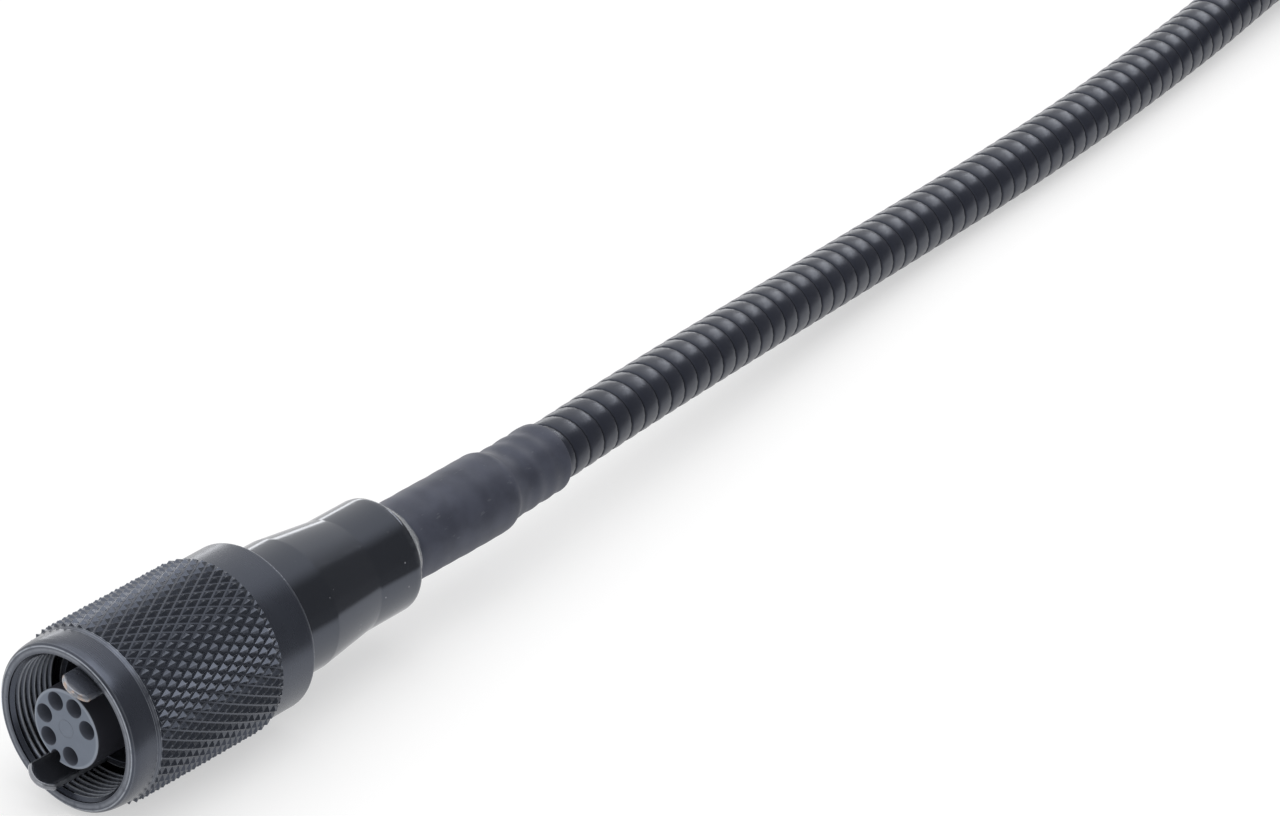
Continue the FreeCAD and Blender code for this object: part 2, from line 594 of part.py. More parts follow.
def camera_head():
    """The head's pieces, built along X and then laid at the end of the hose."""
    bore = HEAD_R - HEAD_WALL
    front = HEAD_LENGTH
    stop = HEAD_FERRULE_LENGTH - HEAD_FERRULE_STOP
    window_front = front - HEAD_LIP_DEPTH - FIT_GAP
    window_rear = window_front - WINDOW_THICK
    seal_rear = window_rear - SEAL_THICK
    board_front = seal_rear - LED_HEIGHT + SEAL_THICK / 2
    board_rear = board_front - LED_BOARD_THICK
    lens_front = board_front + LED_HEIGHT / 2
    lens_rear = lens_front - LENS_BARREL_LENGTH
    sensor_rear = lens_rear - SENSOR_BOARD_THICK
    spigot = bore - FIT_GAP
    bevel = (HEAD_STEP - FIT_GAP) / 2
    pieces = {}
    pieces["head_ferrule"] = turned([
        (0, HOSE_R + FIT_GAP),
        (0, HEAD_R - bevel),
        (bevel, HEAD_R),
        (HEAD_FERRULE_LENGTH, HEAD_R),
        (HEAD_FERRULE_LENGTH, spigot),
        (HEAD_FERRULE_LENGTH + HEAD_SPIGOT_LENGTH, spigot),
        (HEAD_FERRULE_LENGTH + HEAD_SPIGOT_LENGTH, HEAD_CABLE_R + FIT_GAP),
        (stop, HEAD_CABLE_R + FIT_GAP),
        (stop, HOSE_R + FIT_GAP),
    ])
    pieces["head_barrel"] = turned([
        (HEAD_FERRULE_LENGTH, bore),
        (HEAD_FERRULE_LENGTH, HEAD_R),
        (front - HEAD_EDGE_BEVEL, HEAD_R),
        (front, HEAD_R - HEAD_EDGE_BEVEL),
        (front, bore - HEAD_LIP),
        (front - HEAD_LIP_DEPTH, bore - HEAD_LIP),
        (front - HEAD_LIP_DEPTH, bore),
    ])
    pieces["head_window"] = rod(window_rear, window_front, bore - FIT_GAP)
    seal = rod(seal_rear, window_rear, bore - FIT_GAP)
    pieces["window_seal"] = seal.cut(rod(seal_rear, window_rear, bore - SEAL_WIDTH))
    board = rod(board_rear, board_front, bore - FIT_GAP)
    pieces["led_board"] = board.cut(rod(board_rear, board_front, LENS_BARREL_R + FIT_GAP))
    led_circle = (LENS_BARREL_R + bore - SEAL_WIDTH) / 2
    for number in range(LED_COUNT):
        led = Part.makeBox(LED_HEIGHT, LED_SIZE, LED_SIZE)
        led.translate(Vector(board_front, -LED_SIZE / 2, led_circle - LED_SIZE / 2))
        led.rotate(ORIGIN, AXIS, 360 / LED_COUNT * number)
        pieces[f"led_{number + 1}"] = led
    lens_room = rod(lens_front - LENS_THICK, lens_front, LENS_R + FIT_GAP)
    light_way = rod(lens_rear, lens_front, LENS_BORE_R)
    pieces["lens_barrel"] = rod(lens_rear, lens_front, LENS_BARREL_R).cut(lens_room).cut(light_way)
    pieces["front_lens"] = rod(lens_front - LENS_THICK, lens_front, LENS_R)
    pieces["sensor_board"] = rod(sensor_rear, lens_rear, bore - FIT_GAP)
    pieces["head_cable"] = rod(stop, sensor_rear, HEAD_CABLE_R)
    last, heading = on_coil(COIL_INNER_R, COIL_END_DEG, COIL_TOP_Z)
    hose_end = last + heading * COIL_TAIL
    place = Placement(hose_end - heading * stop, Rotation(AXIS, heading))
    for shape in pieces.values():
        shape.Placement = place.multiply(shape.Placement)
    return pieces


def main():
    route = gooseneck_route()
    parts = {
        "coupling_nut": coupling_nut(),
        "nut_retaining_ring": nut_retaining_ring(),
        "plug_body": plug_body(),
        "contact_insert": contact_insert(),
        "signal_cable": rod(CABLE_FRONT_X, HOSE_START_X, CABLE_R),
        "rear_shell": rear_shell(),
        "hose_ferrule": hose_ferrule(),
        "heat_shrink_sleeve": heat_shrink_sleeve(route),
        "adhesive_bead": adhesive_bead(),
        "gooseneck_run": gooseneck_run(route),
        "gooseneck_coil": gooseneck_coil(),
        "coil_tie": coil_tie(),
    }
    for number, degrees in enumerate(contact_angles(), 1):
        parts[f"contact_{number}"] = socket_contact(degrees)
        parts[f"contact_wire_{number}"] = contact_wire(degrees)
    parts.update(camera_head())
    print("hose in the coil, mm:", round(coil_length(), 1))
    os.makedirs("parts", exist_ok=True)
    for name, shape in parts.items():
        solid = shape.Solids[0]
        print(f"{name}: {len(shape.Solids)} solid, valid {solid.isValid()}, {solid.Volume:.2f} mm3")
        solid.exportStep(f"parts/{name}.step")


main()
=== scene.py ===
import bisect
import math

import bmesh
import bpy
from mathutils import Matrix, Vector


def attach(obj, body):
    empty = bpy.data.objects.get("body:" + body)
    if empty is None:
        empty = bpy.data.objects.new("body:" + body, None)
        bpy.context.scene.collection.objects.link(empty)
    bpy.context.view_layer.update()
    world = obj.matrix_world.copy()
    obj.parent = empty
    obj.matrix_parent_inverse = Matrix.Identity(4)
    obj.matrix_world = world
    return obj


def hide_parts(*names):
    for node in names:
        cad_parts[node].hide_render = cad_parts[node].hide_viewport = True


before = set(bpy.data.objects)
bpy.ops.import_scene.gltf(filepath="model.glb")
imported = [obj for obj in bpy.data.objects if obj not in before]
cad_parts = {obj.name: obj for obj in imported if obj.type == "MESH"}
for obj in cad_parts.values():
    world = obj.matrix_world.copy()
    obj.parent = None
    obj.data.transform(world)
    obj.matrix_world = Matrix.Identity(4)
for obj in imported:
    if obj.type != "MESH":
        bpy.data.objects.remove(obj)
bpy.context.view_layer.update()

MM = 0.001
FLOOR_Z = -9.75
FLOOR_GAP = 0.05
FLOOR_R = 6000.0

# Camera fitted to the photo: place in metres, its right side, the way it looks.
CAMERA_PLACE = (-0.3555, -0.3597, 0.2914)
CAMERA_RIGHT = (0.6286, -0.7778, 0.0)
CAMERA_WAY = (0.693, 0.5601, -0.454)
SENSOR_WIDTH = 36.0
LENS_LENGTH = 166.38

# Gooseneck: the route it lies on, then its coil, in millimetres.
HOSE_R = 3.53
HOSE_ROUTE = [
    (43.8, 0.0, 0.0),
    (54.0, 0.0, 0.0),
    (66.0, 0.0, 0.0),
    (95.7, 3.6, -1.12),
    (152.0, 11.5, -5.97),
    (187.7, 13.6, -6.22),
    (221.9, 17.8, -6.22),
    (240.0, 20.4, -5.55),
    (256.79, 23.06, -5.55),
]
COIL_CENTRE = (291.22, -18.06)
COIL_START_DEG = 99.0
COIL_OUTER_R = 46.0
COIL_INNER_R = 38.9
COIL_SHIFT_DEG = (240.0, 300.0)
COIL_RISE_DEG = (585.0, 645.0)
COIL_END_DEG = 925.0
COIL_LOW_Z = -5.55
COIL_TOP_Z = 1.95
COIL_POINTS_A_TURN = 24
HOSE_END = (268.96, -52.14, 1.95)
WINDING_PITCH = 2.78

# Coupling nut: knurled band and thread.
NUT_FRONT_X = 0.0
RIM_R = 9.275
KNURL_FRONT_X = 3.75
LEDGE_LENGTH = 0.5
KNURL_REAR_X = 21.4
KNURL_R = 9.75
KNURL_BASE_R = 9.36
KNURL_POINTS_ROUND = 52
KNURL_SPACING = 2.25
KNURL_GROOVE_WIDTH = 0.18
KNURL_TIP_SHARE = 0.05
KNURL_END_SQUEEZE = 0.02
KNURL_END_HEIGHT = 0.04
COLLAR_R = 9.2
NUT_REAR_X = 26.4
THREAD_MAJOR_R = 8.0
THREAD_DEPTH = 0.4
THREAD_PITCH = 0.75
THREAD_FRONT_X = 0.78
THREAD_REAR_X = 6.3
THREAD_SINK = 0.02
THREAD_CREST_WIDTH = 0.18
THREAD_SUNK_WIDTH = 1.78
THREAD_FADE_TURNS = 0.4

# Plug front: tongues and insert.
TONGUE_DEGS = (-66.0, 114.0)
TONGUE_TIP_X = -2.0
TONGUE_MIDDLE_X = 3.0
TONGUE_ROOT_X = 8.0
TONGUE_WIDTH = 3.9
TONGUE_END_R = 2.4
TONGUE_CORNER_R = 0.5
TONGUE_EDGE = 0.24
TONGUE_INNER_R = 6.32
TONGUE_OUTER_R = 7.03
SHROUD_FRONT_X = 6.4
INSERT_R = 4.35
CONTACT_DEGS = (-34.0, 15.3, 64.7, 114.0, 163.3, 262.0)
CONTACT_CIRCLE_R = 2.97
CONTACT_HOLE_R = 0.97
COUNTERSINK_R = 1.14
KEYWAY_DEG = -66.0
KEYWAY_R = 0.65
KEYWAY_DEPTH = 1.15
KEYWAY_ENDS_X = (-0.5, 8.8)

# Rear shell, bead and sleeve; the sleeve is measured along the hose.
SHELL_FRONT_X = 13.0
SHELL_FRONT_R = 7.3
CONE_FRONT_X = 32.2
CONE_REAR_X = 39.7
SHELL_REAR_X = 46.3
SHELL_REAR_R = 6.4
BEAD_FRONT_X = 46.32
BEAD_REAR_X = 48.15
BEAD_RIPPLE_FROM_R = 4.62
BEAD_RIPPLE = 0.09
BEAD_SINK = 0.1
SLEEVE_FRONT = 2.5
SLEEVE_STEP = 20.5
SLEEVE_REAR = 30.1
SLEEVE_RIPPLE_FROM_R = 3.7
SLEEVE_RIPPLE = 0.06
SLEEVE_WAVE = 0.018

# Camera head, laid along the last of the hose.
HEAD_REAR = (274.73, -53.80, 1.95)
HEAD_DEG = 164.0
HEAD_R = 3.8
HEAD_LENGTH = 34.0
HEAD_FERRULE_LENGTH = 7.0

# Strap round the coil; its wrap is given as (distance from the coil's middle, height).
TIE_DEG = 85.0
TIE_WIDTH = 9.0
TIE_THICKNESS = 0.46
TIE_EDGE_THINNING = 0.18
TIE_CORNER = 0.9
TIE_RIB = 0.55
TIE_YARN = 0.40
TIE_WRAP = [
    (40.0, 5.65),
    (34.75, 5.65),
    (34.75, -9.25),
    (49.85, -9.25),
    (49.85, -1.90),
    (42.75, 5.65),
    (37.0, 6.20),
]


class Wire:
    """A socket in a node tree. Sums and products of wires add Math nodes."""

    def __init__(self, tree, socket):
        self.tree = tree
        self.socket = socket

    def node(self, kind, inputs=None, settings=None, output=0):
        """Adds any other node, with values or links for its sockets."""
        made = self.tree.nodes.new(kind)
        for name, value in (settings or {}).items():
            setattr(made, name, value)
        for key, value in (inputs or {}).items():
            if isinstance(value, Wire):
                self.tree.links.new(value.socket, made.inputs[key])
            else:
                made.inputs[key].default_value = value
        return Wire(self.tree, made.outputs[output])

    def math(self, operation, *others):
        values = dict(enumerate((self, *others)))
        return self.node("ShaderNodeMath", values, {"operation": operation})

    def vector(self, y=0.0, z=0.0):
        return self.node("ShaderNodeCombineXYZ", {0: self, 1: y, 2: z})

    def xyz(self):
        parts = self.node("ShaderNodeSeparateXYZ", {0: self}).socket.node
        return [Wire(self.tree, part) for part in parts.outputs]

    def ramp(self, low, high, smooth=True):
        """0 below low, 1 above high."""
        kind = "SMOOTHSTEP" if smooth else "LINEAR"
        ends = {"Value": self, "From Min": low, "From Max": high}
        return self.node("ShaderNodeMapRange", ends, {"interpolation_type": kind, "clamp": True})

    def __add__(self, other):
        return self.math("ADD", other)

    def __sub__(self, other):
        return self.math("SUBTRACT", other)

    def __rsub__(self, other):
        return self.node("ShaderNodeMath", {0: other, 1: self}, {"operation": "SUBTRACT"})

    def __mul__(self, other):
        return self.math("MULTIPLY", other)

    def __truediv__(self, other):
        return self.math("DIVIDE", other)

    def __rtruediv__(self, other):
        return self.node("ShaderNodeMath", {0: other, 1: self}, {"operation": "DIVIDE"})

    def __mod__(self, other):
        return self.math("FLOORED_MODULO", other)

    __radd__ = __add__
    __rmul__ = __mul__


class Finish:
    """A material in the making: fixed shader values first, then what varies over the surface."""

    def __init__(self, name, fixed):
        self.material = bpy.data.materials.new(name)
        self.material.use_nodes = True
        self.tree = self.material.node_tree
        self.shader = self.tree.nodes["Principled BSDF"]
        for socket, value in fixed.items():
            self.shader.inputs[socket].default_value = value
        self.place = Wire(self.tree, self.tree.nodes.new("ShaderNodeTexCoord").outputs["Object"])

    def stretched(self, x, y, z):
        scale = {0: self.place, 1: (x, y, z)}
        return self.place.node("ShaderNodeVectorMath", scale, {"operation": "MULTIPLY"})

    def noise(self, size_mm, detail=3.0, at=None):
        """Cloudy values from 0 to 1, with features about size_mm across."""
        where = at or self.place
        cloud = {"Vector": where, "Scale": 1 / (size_mm * MM), "Detail": detail}
        return where.node("ShaderNodeTexNoise", cloud)

    def specks(self, size_mm, share):
        """1 on a few round specks, 0 elsewhere."""
        cell = {"Vector": self.place, "Scale": 1 / (size_mm * MM)}
        near = self.place.node("ShaderNodeTexVoronoi", cell)
        chance = self.place.node("ShaderNodeTexVoronoi", cell, output="Color").xyz()[0]
        return (1 - near.ramp(0.05, 0.12)) * chance.ramp(1 - share, 1 - share + 0.01)

    def radius(self):
        """Distance from the plug's axis in millimetres."""
        _, y, z = self.place.xyz()
        return (y * y + z * z).math("SQRT") / MM

    def attribute(self, name):
        return self.place.node("ShaderNodeAttribute", None, {"attribute_name": name}, "Fac")

    def mix(self, share, *tints):
        """From the first tint to the second as share goes from 0 to 1."""
        first, second = (t if isinstance(t, Wire) else (*t, 1.0) for t in tints)
        values = {0: share, 6: first, 7: second}
        return self.place.node("ShaderNodeMix", values, {"data_type": "RGBA"}, 2)

    def clouded(self, size_mm, dark, light):
        return self.mix(self.noise(size_mm), dark, light)

    def feed(self, socket, wire):
        self.tree.links.new(wire.socket, self.shader.inputs[socket])

    def paint(self, share, *tints):
        self.feed("Base Color", self.mix(share, *tints))

    def rough(self, wire):
        self.feed("Roughness", wire)

    def relief(self, height, depth_mm):
        lift = {"Height": height, "Distance": depth_mm * MM, "Strength": 1.0}
        self.feed("Normal", height.node("ShaderNodeBump", lift))


WHITE = (1.0, 1.0, 1.0, 1.0)
COOL = (0.72, 0.80, 1.0, 1.0)


def cool_gloss(level=1.0):
    return {"Specular IOR Level": level, "Specular Tint": COOL}


def black_anodised(name, rough, dark, light):
    """Satin black with faint lathe lines and thin pale marks on its edges: wear, and on the nut's
    front ring, corners and ledge a painted highlight line.
    """
    made = Finish(name, cool_gloss(0.95))
    cloud = made.noise(3.0)
    lines = made.noise(0.12, 2.0, made.stretched(1.0, 0.02, 0.02))
    base = made.mix(cloud, dark, light)
    # Pale edge mark: wear, and a painted highlight line where the outline gives a corner a strong
    # mark.
    wear_and_highlight = made.attribute("edge") * made.noise(0.9, 2.0).ramp(0.0, 0.6)
    made.paint(wear_and_highlight * 0.6, base, (0.25, 0.265, 0.29))
    made.rough(rough + 0.10 * (cloud - 0.5) + 0.05 * (lines - 0.5))
    made.relief(lines, 0.0006)
    return made.material


def thread_black():
    """Cut thread: black flanks; crests painted pale, as rubbed metal and as painted highlight."""
    made = Finish("thread_black", cool_gloss())
    crest_r = THREAD_MAJOR_R - THREAD_DEPTH
    crest = 1 - made.radius().ramp(crest_r + 0.03, crest_r + 0.18)
    base = made.clouded(1.0, (0.008, 0.0085, 0.010), (0.016, 0.017, 0.020))
    # Crests: rubbed metal, and a painted highlight along each crest.
    made.paint(crest * 0.5, base, (0.40, 0.42, 0.46))
    made.feed("Metallic", crest * 0.26)
    made.rough(0.20 + 0.1 * made.noise(0.4, 2.0))
    return made.material


def knurl_black():
    """Anodised knurl: points a little worn, grooves a little paler."""
    made = Finish("knurl_black", cool_gloss())
    radius = made.radius()
    tip = radius.ramp(KNURL_R - 0.12, KNURL_R) * made.noise(0.6, 2.0).ramp(0.35, 0.65)
    groove = 1 - radius.ramp(KNURL_BASE_R, KNURL_BASE_R + 0.06)
    base = made.clouded(2.0, (0.008, 0.009, 0.012), (0.014, 0.0155, 0.020))
    base = made.mix(groove * 0.4, base, (0.085, 0.09, 0.105))
    made.paint(tip * 0.6, base, (0.13, 0.14, 0.155))
    made.rough(0.20 + 0.12 * made.noise(0.25, 2.0))
    return made.material


def shell_gloss():
    """Polished black with stray specks of dust."""
    made = Finish("shell_gloss", cool_gloss())
    dust = made.specks(1.1, 0.35)
    base = made.clouded(4.0, (0.006, 0.0063, 0.0075), (0.010, 0.0104, 0.0125))
    wear_and_highlight = made.attribute("edge") * made.noise(0.8, 2.0).ramp(0.3, 0.7)
    base = made.mix(wear_and_highlight * 0.3, base, (0.12, 0.125, 0.135))
    made.paint(dust * 0.7, base, (0.30, 0.30, 0.31))
    made.rough(0.11 + 0.05 * made.noise(1.2) + dust * 0.4)
    made.relief(made.noise(0.35, 2.0), 0.0015)
    return made.material


def plug_plating():
    """Black plating, glossy, with copper showing at rubbed edges; the tongues' outer faces are
    painted paler as painted reflection, and the edges carry a pale painted highlight line.
    """
    made = Finish("plug_plating", {**cool_gloss(0.8), "Coat IOR": 1.8, "Coat Roughness": 0.15})
    base = made.clouded(1.5, (0.016, 0.017, 0.021), (0.024, 0.026, 0.032))
    x, _, z = made.place.xyz()
    # Painted reflection: the tongues' outer faces near the front are painted paler.
    outer = made.radius().ramp(6.80, 6.95)
    base = made.mix(outer * (1 - (x / MM).ramp(-0.5, 3.5)), base, (0.045, 0.049, 0.061))
    edge = made.attribute("edge")
    # Painted highlight: pale lines along the edges, a little metallic.
    painted_edge_highlight = edge * made.noise(1.2, 2.0).ramp(0.2, 0.55)
    base = made.mix(painted_edge_highlight * 0.3, base, (0.42, 0.44, 0.48))
    tip = (1 - (x / MM).ramp(-1.2, 0.0)) * (z / MM).ramp(2.0, 4.0)
    rubbed = edge * tip * made.noise(1.1, 2.0).ramp(0.50, 0.62)
    made.paint(rubbed * 0.5, base, (0.55, 0.34, 0.20))
    made.feed("Metallic", painted_edge_highlight * 0.2 + rubbed * 0.4)
    made.rough(0.20 + 0.10 * made.noise(0.5))
    made.feed("Coat Weight", 1 - (x / MM).ramp(2.0, 5.0))
    return made.material


def insert_plastic():
    """Moulded plastic: grey, matt, finely grained face, with a painted highlight on its front edge
    and painted shade behind its chamfer and in its holes.
    """
    made = Finish("insert_plastic", {"Specular IOR Level": 0.4})
    grain = made.noise(0.10, 2.0)
    base = made.clouded(1.4, (0.110, 0.131, 0.168), (0.130, 0.152, 0.192))
    # Painted highlight: the front edge's mark is painted pale.
    base = made.mix(made.attribute("edge") * 0.35, base, (0.34, 0.37, 0.42))
    outside = made.radius().ramp(4.02, 4.16)
    # Painted shade: dark in the holes, darker still on the side wall behind the chamfer.
    shade = made.mix(outside, (0.058, 0.065, 0.086), (0.023, 0.024, 0.032))
    behind = (made.place.xyz()[0] / MM - outside * 0.06).ramp(0.004, 0.03)
    made.paint(behind, base, shade)
    made.rough(0.50 + 0.12 * grain)
    made.relief(grain, 0.006)
    return made.material


def contact_metal():
    """Dull brass, unevenly browned, kept dark as painted shade deep in the holes."""
    made = Finish("contact_metal", {"Metallic": 1.0})
    made.paint(made.noise(0.5), (0.10, 0.085, 0.06), (0.22, 0.18, 0.11))
    made.rough(0.38 + 0.2 * made.noise(0.3))
    return made.material


def bright_steel(name):
    """Turned steel with fine lathe lines."""
    made = Finish(name, {"Metallic": 1.0})
    lines = made.noise(0.1, 2.0, made.stretched(1.0, 0.05, 0.05))
    made.paint(made.noise(1.0), (0.42, 0.43, 0.45), (0.55, 0.56, 0.58))
    made.rough(0.25 + 0.2 * lines)
    made.relief(lines, 0.003)
    return made.material


def wire_cover(name, dark, light):
    """Smooth extruded plastic with faint streaks along the wire."""
    made = Finish(name, {"Specular IOR Level": 0.5})
    streaks = made.noise(0.3, 2.0, made.stretched(0.1, 1.0, 1.0))
    made.paint(streaks, dark, light)
    made.rough(0.35 + 0.15 * streaks)
    return made.material


def shrink_sleeve():
    """Heat-shrunk tube: matt, dark and bluish, cloudy where it was pulled thin."""
    made = Finish("shrink_sleeve", cool_gloss(0.5))
    cloud = made.noise(2.6, 4.0)
    fine = made.noise(0.16, 2.0)
    base = made.mix(cloud.ramp(0.3, 0.7), (0.033, 0.035, 0.049), (0.047, 0.050, 0.069))
    scuff = made.noise(0.5, 3.0, made.stretched(0.35, 1.0, 1.0)).ramp(0.66, 0.74)
    made.paint(scuff * 0.35, base, (0.11, 0.113, 0.125))
    made.rough(0.43 + 0.10 * cloud + 0.05 * fine)
    made.relief(fine * 0.35 + cloud, 0.02)
    return made.material


def clear_adhesive():
    """Cloudy clear adhesive with a few brown patches."""
    made = Finish("clear_adhesive", {"Transmission Weight": 0.7, "IOR": 1.5})
    brown = made.noise(0.9, 2.0).ramp(0.62, 0.72)
    base = made.clouded(0.8, (0.50, 0.52, 0.55), (0.70, 0.72, 0.75))
    made.paint(brown * 0.6, base, (0.26, 0.19, 0.14))
    made.rough(0.10 + 0.12 * made.noise(0.5))
    made.relief(made.noise(0.6), 0.03)
    return made.material


def hose_black():
    """Wound gooseneck: semi-gloss black turns, grooves painted near black as painted shade, with a
    thin paler lip.
    """
    made = Finish("hose_black", {"IOR": 1.5, "Specular Tint": COOL})
    groove = made.attribute("groove")
    lip = groove.ramp(0.1, 0.45) * (1 - groove.ramp(0.5, 0.8))
    base = made.clouded(3.5, (0.0105, 0.0115, 0.0175), (0.0165, 0.0180, 0.0270))
    edge_marks = lip * made.noise(1.8, 2.0).ramp(0.35, 0.7) * 0.08
    base = made.mix(edge_marks, base, (0.075, 0.078, 0.09))
    # Painted shade: the grooves between turns are painted near black.
    made.paint(groove.ramp(0.3, 0.9), base, (0.004, 0.004, 0.005))
    made.rough(0.28 + 0.07 * made.noise(0.6, 3.0) + 0.5 * groove)
    made.relief(made.noise(0.5, 2.0), 0.004)
    return made.material


def tie_fabric():
    """Woven strap: ribs across it and a fuzzy face."""
    sheen = {"Sheen Weight": 0.3, "Sheen Roughness": 0.5}
    made = Finish("tie_fabric", {"Specular IOR Level": 0.25, **sheen})
    uv = made.place.node("ShaderNodeUVMap", None, {"uv_map": "strap"})
    along, across, _ = uv.xyz()
    ribs = (along * (math.tau / TIE_RIB)).math("SINE")
    yarns = (across * (math.tau / TIE_YARN)).math("SINE")
    weave = (ribs * yarns) * 0.5 + 0.5
    fuzz = made.noise(0.15, 3.0)
    base = made.mix(weave, (0.010, 0.010, 0.011), (0.034, 0.034, 0.037))
    made.paint(fuzz.ramp(0.5, 0.8) * 0.5, base, (0.06, 0.06, 0.065))
    made.rough(0.78 + 0.15 * fuzz)
    made.relief(weave + fuzz * 0.6, 0.06)
    return made.material


def clear_glass(name, tint):
    """Clear glass with a coated sheen and faint smears."""
    made = Finish(name, {"Transmission Weight": 1.0, "IOR": 1.5, "Coat Weight": 0.3})
    made.paint(made.noise(2.0), (0.97, 0.98, 0.98), tint)
    made.rough(0.02 + 0.03 * made.noise(0.6))
    return made.material


def seal_rubber():
    """Matt black rubber with a fine grain."""
    made = Finish("seal_rubber", {"Specular IOR Level": 0.3})
    fine = made.noise(0.12, 2.0)
    made.paint(fine, (0.010, 0.010, 0.011), (0.022, 0.022, 0.023))
    made.rough(0.6 + 0.2 * fine)
    return made.material


def circuit_board():
    """Green solder mask with paler tracks and a few tinned pads."""
    made = Finish("circuit_board", {"Specular IOR Level": 0.5})
    cells = {"Vector": made.place, "Scale": 1 / (0.9 * MM)}
    track = made.place.node("ShaderNodeTexVoronoi", cells, {"feature": "DISTANCE_TO_EDGE"})
    pad = made.specks(0.9, 0.5)
    line = 1 - track.ramp(0.05, 0.09)
    base = made.mix(line, (0.008, 0.07, 0.030), (0.02, 0.13, 0.06))
    made.paint(pad, base, (0.62, 0.62, 0.60))
    made.feed("Metallic", pad)
    made.rough(0.35 + 0.1 * made.noise(0.4))
    made.relief(line, 0.01)
    return made.material


def led_face():
    """Lamp chip: cloudy yellow."""
    made = Finish("led_face", {"Specular IOR Level": 0.5})
    cloud = made.noise(0.2, 2.0)
    made.paint(cloud, (0.80, 0.62, 0.14), (0.88, 0.76, 0.34))
    made.rough(0.25 + 0.2 * cloud)
    return made.material


class Line:
    """A path with its length and a frame carried along it without twist."""

    def __init__(self, points):
        self.points = [Vector(p) for p in points]
        self.lengths = [0.0]
        for a, b in zip(self.points, self.points[1:]):
            self.lengths.append(self.lengths[-1] + (b - a).length)
        self.ways = []
        for i in range(len(self.points)):
            a = self.points[max(i - 1, 0)]
            b = self.points[min(i + 1, len(self.points) - 1)]
            self.ways.append((b - a).normalized())
        side = Vector((0, 1, 0))
        self.sides = []
        for way in self.ways:
            side = (side - way * side.dot(way)).normalized()
            self.sides.append(side)

    def at(self, length):
        """Place, side and up at a length along the path; the last runs carry on past its ends."""
        i = min(max(bisect.bisect_right(self.lengths, length) - 1, 0), len(self.points) - 2)
        share = (length - self.lengths[i]) / (self.lengths[i + 1] - self.lengths[i])
        place = self.points[i].lerp(self.points[i + 1], share)
        share = min(max(share, 0.0), 1.0)
        way = self.ways[i].lerp(self.ways[i + 1], share).normalized()
        side = self.sides[i].lerp(self.sides[i + 1], share)
        side = (side - way * side.dot(way)).normalized()
        return place, side, way.cross(side)

    def on(self, length, radius, angle):
        place, side, up = self.at(length)
        return place + (side * math.cos(angle) + up * math.sin(angle)) * radius


PLUG_AXIS = Line([(0, 0, 0), (50 * MM, 0, 0)])


def placed(name, data):
    """A new object in the scene."""
    made = bpy.data.objects.new(name, data)
    bpy.context.scene.collection.objects.link(made)
    return made


def finished(holder):
    """The object's mesh with its modifiers applied."""
    bpy.context.view_layer.update()
    seen = holder.evaluated_get(bpy.context.evaluated_depsgraph_get())
    return bpy.data.meshes.new_from_object(seen)


def piece_from(mesh, name, body, finish, stands_for=()):
    """A finished piece at the origin, riding on its body."""
    piece = placed(name, mesh)
    mesh.materials.clear()
    mesh.materials.append(finish)
    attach(piece, body)
    if stands_for:
        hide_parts(*stands_for)
    return piece


def merged(built):
    """Merges doubles."""
    bmesh.ops.remove_doubles(built, verts=built.verts, dist=1e-7)


def mesh_from(built, name):
    """A smooth-shaded mesh with its doubles merged and its faces turned outwards."""
    merged(built)
    bmesh.ops.recalc_face_normals(built, faces=built.faces)
    mesh = bpy.data.meshes.new(name)
    built.to_mesh(mesh)
    built.free()
    mesh.shade_smooth()
    return mesh


# An eased corner takes up to the first share of the run beside it; its pale edge mark, wear and in
# places a painted highlight line, fades out over a reach that is longer than the ease, up to the
# second share.
EASE_SHARE = 0.45
WEAR_AND_HIGHLIGHT_SHARE = 0.48
WEAR_AND_HIGHLIGHT_REACH = 1.8


def rounded(start, corner, end, t):
    """A point of the curve that rounds a corner."""
    return start * (1 - t) ** 2 + corner * (2 * t * (1 - t)) + end * t * t


def partway(here, run, reach, share):
    return here + run.normalized() * min(reach, run.length * share)


def eased(corners, steps=4):
    """Rounds the corners (along, radius, ease, wear and highlight) of a closed outline, and gives
    them their pale edge mark: wear, and on some corners a painted highlight line.
    """
    points = []
    for i, (along, radius, ease, *wear_and_highlight) in enumerate(corners):
        here = Vector((along, radius))
        before = Vector(corners[i - 1][:2]) - here
        after = Vector(corners[(i + 1) % len(corners)][:2]) - here
        if ease == 0:
            points.append((here, sum(wear_and_highlight)))
            continue
        start = partway(here, before, ease, EASE_SHARE)
        end = partway(here, after, ease, EASE_SHARE)
        points.append((partway(here, before, ease * WEAR_AND_HIGHLIGHT_REACH, WEAR_AND_HIGHLIGHT_SHARE), 0.0))
        for step in range(steps + 1):
            points.append((rounded(start, here, end, step / steps), sum(wear_and_highlight)))
        points.append((partway(here, after, ease * WEAR_AND_HIGHLIGHT_REACH, WEAR_AND_HIGHLIGHT_SHARE), 0.0))
    return points


def divided(outline, longest):
    """Splits the outline's long runs, so that they can follow a bend or a ripple."""
    points = []
    for i, (here, edge) in enumerate(outline):
        after, _ = outline[(i + 1) % len(outline)]
        parts = max(1, math.ceil((after - here).length / longest))
        points.append((here, edge))
        for part in range(1, parts):
            points.append((here.lerp(after, part / parts), 0.0))
    return points


def strips(built, rows):
    """Joins neighbouring rows of points with four-sided faces."""
    for row, after in zip(rows, rows[1:]):
        for corners in zip(row, row[1:], after[1:], after):
            built.faces.new(corners)


def closed(row):
    return row + row[:1]


